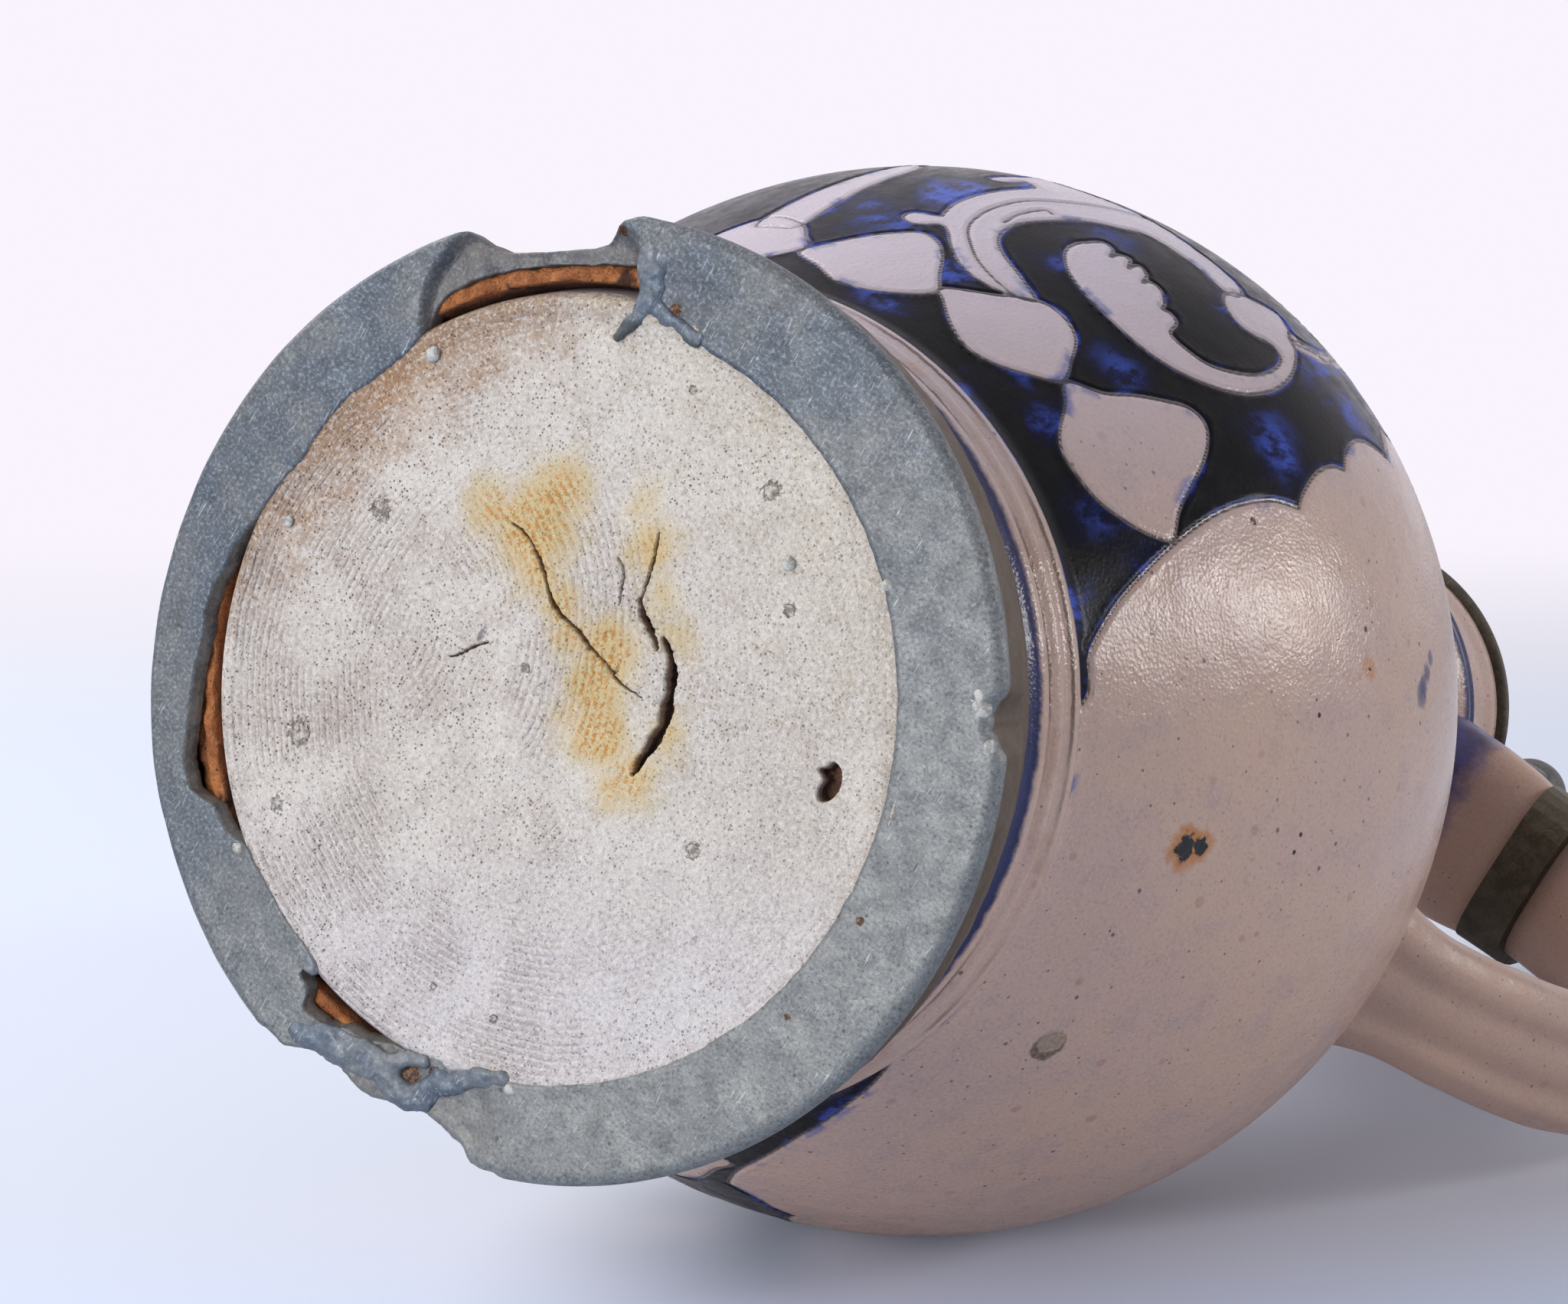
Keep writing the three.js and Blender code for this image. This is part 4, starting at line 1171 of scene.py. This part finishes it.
solder = {
    "voxel": 0.24,
    "flat": 0.65,  # height of a run as a share of its width
    "deep": 0.9,  # greatest height, mm
    "lowest": 0.03,  # nothing reaches lower than this, mm
    "uneven": ((0.32, 1.6), (0.16, 0.7)),
    "gritUneven": ((0.25, 0.8),),
    # (pixel, radius in mm) along each run
    "runs": [[((850, 338), 2.2), ((846, 362), 1.8), ((846, 384), 1.5), ((838, 402), 1.3),
              ((820, 422), 0.95), ((803, 439), 0.55)],
             [((850, 398), 1.3), ((868, 414), 0.9), ((888, 428), 0.8), ((908, 444), 0.9)],
             [((400, 1256), 1.25), ((404, 1264), 0.9)],
             [((384, 1348), 1.3), ((416, 1358), 1.9), ((448, 1374), 2.1), ((480, 1388), 2.1),
              ((503, 1396), 1.5)],
             [((503, 1392), 1.5), ((503, 1414), 1.7), ((522, 1432), 1.6), ((548, 1434), 1.6),
              ((560, 1416), 1.3)],
             [((503, 1388), 1.2), ((530, 1380), 0.9), ((550, 1388), 0.8)],
             [((566, 1416), 1.7), ((592, 1414), 1.5), ((620, 1408), 1.2), ((655, 1410), 0.9)]],
    "grit": [(561, 462, 0.95), (306, 1108, 0.7), (662, 1424, 0.75), (1274, 908, 1.6), (1276, 924, 1.3),
             (1290, 975, 0.8), (1026, 735, 0.8), (1157, 764, 0.75), (373, 680, 0.6)],
}


def remeshed(bm, voxel):  # one closed skin round overlapping lumps
    lumps = meshObject("lumps", bm)
    skin = lumps.modifiers.new("skin", "REMESH")
    skin.mode = "VOXEL"
    skin.voxel_size = voxel
    bpy.context.view_layer.update()
    done = lumps.evaluated_get(bpy.context.evaluated_depsgraph_get()).to_mesh()
    bm = bmesh.new()
    bm.from_mesh(done)
    bpy.data.objects.remove(lumps)
    return bm


def droplet(bm, x, y, z, radius, tall):  # a flattened ball
    size = Matrix.Diagonal((1, 1, tall / radius, 1))
    bmesh.ops.create_icosphere(bm, subdivisions=2, radius=radius, matrix=Matrix.Translation((x, y, z)) @ size)


def roughened(bm, layers):
    for v in bm.verts:
        v.co += v.normal * uneven(v.co, layers)
        v.co.z = max(v.co.z, solder["lowest"])


def solderRuns():
    bm = bmesh.new()
    for run in solder["runs"]:
        for (start, wide), (end, narrow) in zip(run, run[1:]):
            for step in range(6):
                share = step / 5
                x, y = Vector(onBase(*start)).lerp(Vector(onBase(*end)), share)
                radius = wide + (narrow - wide) * share
                tall = min(radius * solder["flat"], solder["deep"])
                droplet(bm, x, y, 0.1 + tall, radius, tall)
    bm = remeshed(bm, solder["voxel"])
    roughened(bm, solder["uneven"])
    addPiece("solderRuns", bm, [pewter("solderPewter", 1.18, hanging=True)], "jug")


def gritFinish():
    board = Board("grit")
    blotch = board.grain(0.8, 3, 0.6)
    board.colour = board.tones(blotch.ease(0.4, 0.6), (196, 194, 188), (150, 148, 142))
    return board.finish(Roughness=blotch.ease(0.3, 0.7, 0.3, 0.5), Normal=board.relief((blotch, 0.2)))


def grit():
    bm = bmesh.new()
    for x, y, radius in solder["grit"]:
        droplet(bm, *onBase(x, y), 0.2 + radius * 0.5, radius, radius * 0.5)
    bmesh.ops.subdivide_edges(bm, edges=bm.edges, cuts=1, use_grid_fill=True)
    bm.normal_update()
    roughened(bm, solder["gritUneven"])
    addPiece("grit", bm, [gritFinish()], "jug")
    print("solder and grit made")


# Strap handle

handle = {
    "path": [(23.6, 231.5), (36.4, 233.5), (53, 232.5), (72, 222.5), (83.6, 204.5), (87.5, 178.5),
             (83.1, 153), (72, 129), (58, 114.5)],
    "width": (25.3, 14.4),
    "spread": 2.4,  # it widens again towards the belly
    "sway": 2.9,  # how far it was pulled askew past the pewter strap
    "swayFrom": 0.32,  # share of its length at which that begins
    "thickness": (10, 8.9),
    "ridge": 0.9,
    "rings": 340,
    "around": 96,
    "flare": 2.6,  # spread of the clay where it is pressed on to the body
    "uneven": ((0.22, 14), (0.1, 5)),
    "steady": 11,  # rings on either side that a ring's direction is taken over
}


def handlePlaces(count):  # evenly spaced (middle, outward way) along the strap
    line = [Vector(p) for p in openRun(handle["path"], 160)]
    run = np.concatenate([[0], np.cumsum([(b - a).length for a, b in zip(line, line[1:])])])
    even = np.linspace(0, run[-1], count + 1)
    start = handle["swayFrom"]
    past = (even / run[-1] - start).clip(0) / (1 - start)
    aside = handle["sway"] * np.sin(past * math.pi).clip(0) ** 1.3
    middles = [Vector((np.interp(s, run, [p.x for p in line]), y, np.interp(s, run, [p.y for p in line])))
               for s, y in zip(even, aside)]
    ways = []
    for i in range(count + 1):
        before, after = max(i - handle["steady"], 0), min(i + handle["steady"], count)
        along = (middles[after] - middles[before]).normalized()
        ways.append(Vector((-along.z, 0, along.x)))
    return middles, ways


def strapRing(middle, way, share, around):
    (w0, w1), (t0, t1) = handle["width"], handle["thickness"]
    width = (w0 + (w1 - w0) * share + handle["spread"] * eased(share, 0.35, 0.9)) / 2
    thick = (t0 + (t1 - t0) * share) / 2
    spread = handle["flare"] * (math.exp(-((1 - share) / 0.05) ** 2) + 0.8 * math.exp(-(share / 0.125) ** 6))
    ring = []
    for i in range(around):
        turn = math.tau * (i + 0.5) / around
        c, s = math.cos(turn), math.sin(turn)
        across = math.copysign(abs(c) ** 0.62, c) * (width + spread)
        out = math.copysign(abs(s) ** 0.72, s) * (thick + spread * 0.8)
        if s > 0:
            out -= handle["ridge"] * (1 - math.cos(3 * math.pi * across / (width + spread))) / 2 * s
        ring.append(middle + way * out + Vector((0, across, 0)))
    return ring


def sweptStrap(middles, ways, around):  # a disc drawn out along the strap's rings
    shares = np.linspace(0, 1, len(middles))
    bm = bmesh.new()
    bmesh.ops.create_circle(bm, segments=around, radius=1, cap_ends=True)
    face = bm.faces[:][0]
    discs = [face]
    for step, (middle, way, share) in enumerate(zip(middles, ways, shares)):
        if step:
            made = bmesh.ops.extrude_face_region(bm, geom=[face])["geom"]
            face = next(g for g in made if isinstance(g, bmesh.types.BMFace))
            discs.append(face)
        for v, spot in zip(face.verts, strapRing(middle, way, share, around)):
            v.co = spot
    bmesh.ops.delete(bm, geom=discs[1:-1], context="FACES_ONLY")
    bmesh.ops.recalc_face_normals(bm, faces=bm.faces)
    return bm


def strapHandle():
    middles, ways = handlePlaces(handle["rings"])
    bm = sweptStrap(middles, ways, handle["around"])
    bm.normal_update()
    for v in bm.verts:
        v.co += v.normal * uneven(v.co, handle["uneven"])
    addPiece("strapHandle", bm, [handleGlaze()], "jug", "handle")
    print("handle made")


def handleGlaze():
    board = Board("handleGlaze")
    clayCoats(board)
    x, z = board.split("XZ")
    wander = board.grain(4, 3, 0.6) - 0.5
    root = (x + wander * 5).ease(35.5, 30.5) * z.ease(215, 224)
    board.coat(0.4, 178, 144, 124)  # duller than the belly all over
    board.coat(root * 0.85, board.tones(board.grain(3, 3, 0.6).ease(0.3, 0.7), (26, 36, 88), (54, 74, 142)))
    rough = board.grain(3.5, 3, 0.6).ease(0.3, 0.7, 0.28, 0.44)
    return board.finish(Roughness=rough, Normal=orangePeel(board, 0.7), Specular_IOR_Level=0.25)


# Lid and hinge

lid = {
    "radius": 27.6,
    "stepRadius": 23.6,
    "seat": 262.4,
    "metal": 1.8,
    "step": 3.2,
    "dome": 8.5,
    "hinge": (31.8, 265),
    "barrelLength": 16,
    "pin": 1.3,
    "ball": 6.2,
}


def lidCover():
    radius, inside, seat, metal = lid["radius"], lid["stepRadius"], lid["seat"], lid["metal"]
    ledge = seat + metal + lid["step"]
    top = ledge + lid["dome"]
    edge = arc((radius - 0.75, seat + 0.85), 0.75, -90, 75, 8)
    step = [(inside + 1.6, seat + metal + 0.1), (inside + 0.6, seat + metal + 0.5),
            (inside + 0.15, seat + metal + 1.4), (inside, ledge - 0.9)]
    step += arc((inside - 0.7, ledge - 0.7), 0.7, 0, 90, 5)[1:]
    dome = bezier((inside - 2.2, ledge - 0.1), (inside * 0.62, top - 0.6), (inside * 0.3, top), (0, top), 16)
    under = [(r - metal / 3, z - metal) for r, z in dome[:-1:3]]
    under = [(0, top - metal)] + under[::-1] + [(inside - metal, seat + 0.8), (inside - metal + 0.6, seat)]
    bm = turned(edge + step + dome + under, 144, closed=True)
    addPiece("lidCover", bm, [pewter("lidPewter", 0.9, 0.75)], "lid", "lid_cover")


def thumbpiece():
    low, high = (Vector(corner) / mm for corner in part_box("thumbpiece"))
    ball, foot, tall = lid["ball"], low.z, high.z - low.z
    waist = tall - 2 * ball * 0.97
    rows = [(0, 0), (3, 0), (3.2, 0.3), (3.2, 1.3), (2.9, 1.9), (2.2, 3.4), (1.9, 5), (1.7, waist * 0.6),
            (1.75, waist - 3.6), (2.4, waist - 3), (3.1, waist - 2.2), (3.1, waist - 1.6), (2.5, waist - 1),
            (2.1, waist - 0.2)]
    rows += arc((0, tall - ball), ball, -68, 90, 22)
    bm = turned([(max(r, 0), foot + z) for r, z in rows[:-1]] + [(0, high.z)], 64)
    bmesh.ops.translate(bm, vec=((low.x + high.x) / 2, 0, 0), verts=bm.verts)
    addPiece("thumbBall", bm, [pewter("thumbPewter", 0.9, 0.4)], "lid", "thumbpiece")


def hingePin():
    (x, z), half, pin = lid["hinge"], lid["barrelLength"] / 2 + 0.3, lid["pin"]
    end = -half - 0.7
    rows = [(0, end), (pin + 0.5, end), (pin + 0.9, -half - 0.35), (pin + 0.9, -half), (pin, -half)]
    rows += [(r, -z) for r, z in rows[::-1]]
    bm = turned(rows, 40)
    bmesh.ops.rotate(bm, cent=(0, 0, 0), matrix=Matrix.Rotation(math.pi / 2, 3, "X"), verts=bm.verts)
    bmesh.ops.translate(bm, vec=(x, 0, z), verts=bm.verts)
    addPiece("hingePin", bm, [pewter("pinPewter", 0.85, 0.3)], "jug", "hinge_pin")
    print("lid and hinge made")


def carriedOver():  # CAD pieces that only need their metal
    metal = pewter("fittingPewter", 0.8, 0.8)
    for name in ("handle_band", "hinge_shank", "lid_tongue"):
        piece = bpy.data.objects[name]
        piece.data.materials.clear()
        piece.data.materials.append(metal)


# Table, backdrop and light

def stageAxes():
    down = Vector(stage["down"]).normalized()
    back = cameraTurn() @ Vector((0, 0, -1))
    away = (back - down * back.dot(down)).normalized()
    return down, away


def floorFinish(away):
    board = Board("paleTable")
    depth = board.along(tuple(away))
    soft = depth.ease(stage["edge"] - 330, stage["edge"] + 140)
    near = depth.ease(100, -50)  # painted bluish shade: the table and its glow turn bluer towards the camera
    board.colour = board.mix(near, *stage["cloth"])
    board.coat(soft, stage["farCloth"])
    board.finish(Roughness=0.85, Specular_IOR_Level=0.2)
    seen = board.node("ShaderNodeLightPath", output="Is Camera Ray")
    glow = board.node("ShaderNodeEmission", None, {"Color": board.mix(near, *stage["glow"])})
    lit = board.node("ShaderNodeAddShader", None, [board.plain(), glow])
    shown = board.node("ShaderNodeMixShader", None, [seen, board.plain(), lit])
    clear = board.node("ShaderNodeBsdfTransparent")
    behind = board.node("ShaderNodeNewGeometry", output="Backfacing")
    return board.surface(board.node("ShaderNodeMixShader", None, [behind.most(seen * soft), shown, clear]))


def table():
    down, away = stageAxes()
    bm = bmesh.new()
    bmesh.ops.create_grid(bm, x_segments=2, y_segments=2, size=stage["size"] / 2 * mm)
    turn = Matrix((away, away.cross(down), -down)).transposed()
    bmesh.ops.rotate(bm, cent=(0, 0, 0), matrix=turn, verts=bm.verts)
    bmesh.ops.translate(bm, vec=down * stage["drop"] * mm, verts=bm.verts)
    meshObject("table", bm, floorFinish(away))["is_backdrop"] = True


lamps = {
    # way from the jug in camera terms (right, up, towards the camera), distance mm, size mm, watts, colour
    "sky": ((-0.55, 0.8, -0.22), 1100, 1000, 9.1, (0.99, 0.985, 0.98)),
    "room": ((-0.6, 0.2, 0.75), 1300, 900, 9.6, (1, 0.98, 0.96)),
    "window": ((0.965, 0.24, -0.03), 900, 200, 1.7, (1, 0.98, 0.95)),
}


def lights():
    turn = cameraTurn()
    middle = Vector((0, 0, 60)) * mm
    for name, (way, distance, size, watts, colour) in lamps.items():
        data = bpy.data.lights.new(name, "AREA")
        data.shape = "DISK"
        data.size = size * mm
        data.energy = watts
        data.color = colour
        spot = turn @ Vector(way).normalized() * distance * mm
        lamp = placed(name, data)
        lamp.location = middle + spot
        lamp.rotation_euler = spot.to_track_quat("Z", "Y").to_euler()


def worldLight():  # what the camera and reflections see is paler than what lights the jug
    board = Board("paleRoom", "worlds")
    bpy.context.scene.world = board.owner
    colour, strength = stage["ambient"]
    ambient = board.node("ShaderNodeBackground", None, [colour, strength])
    seen = board.node("ShaderNodeBackground", None, [stage["backdrop"], 1])
    kinds = ("Camera", "Glossy", "Transmission")
    direct, glossy, through = (board.node("ShaderNodeLightPath", output=f"Is {kind} Ray") for kind in kinds)
    board.surface(board.node("ShaderNodeMixShader", None, [direct.most(glossy).most(through), ambient, seen]))
    bpy.context.scene.view_settings.view_transform = "Standard"
    print("table and light placed")


jugBody()
footSkirt()
footBedding()
solderRuns()
grit()
strapHandle()
lidCover()
thumbpiece()
hingePin()
carriedOver()
table()
lights()
worldLight()

plain = lambda box: [[float(c) for c in corner] for corner in box]
{"cad": plain(cadBox), "visual": plain(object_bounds())}
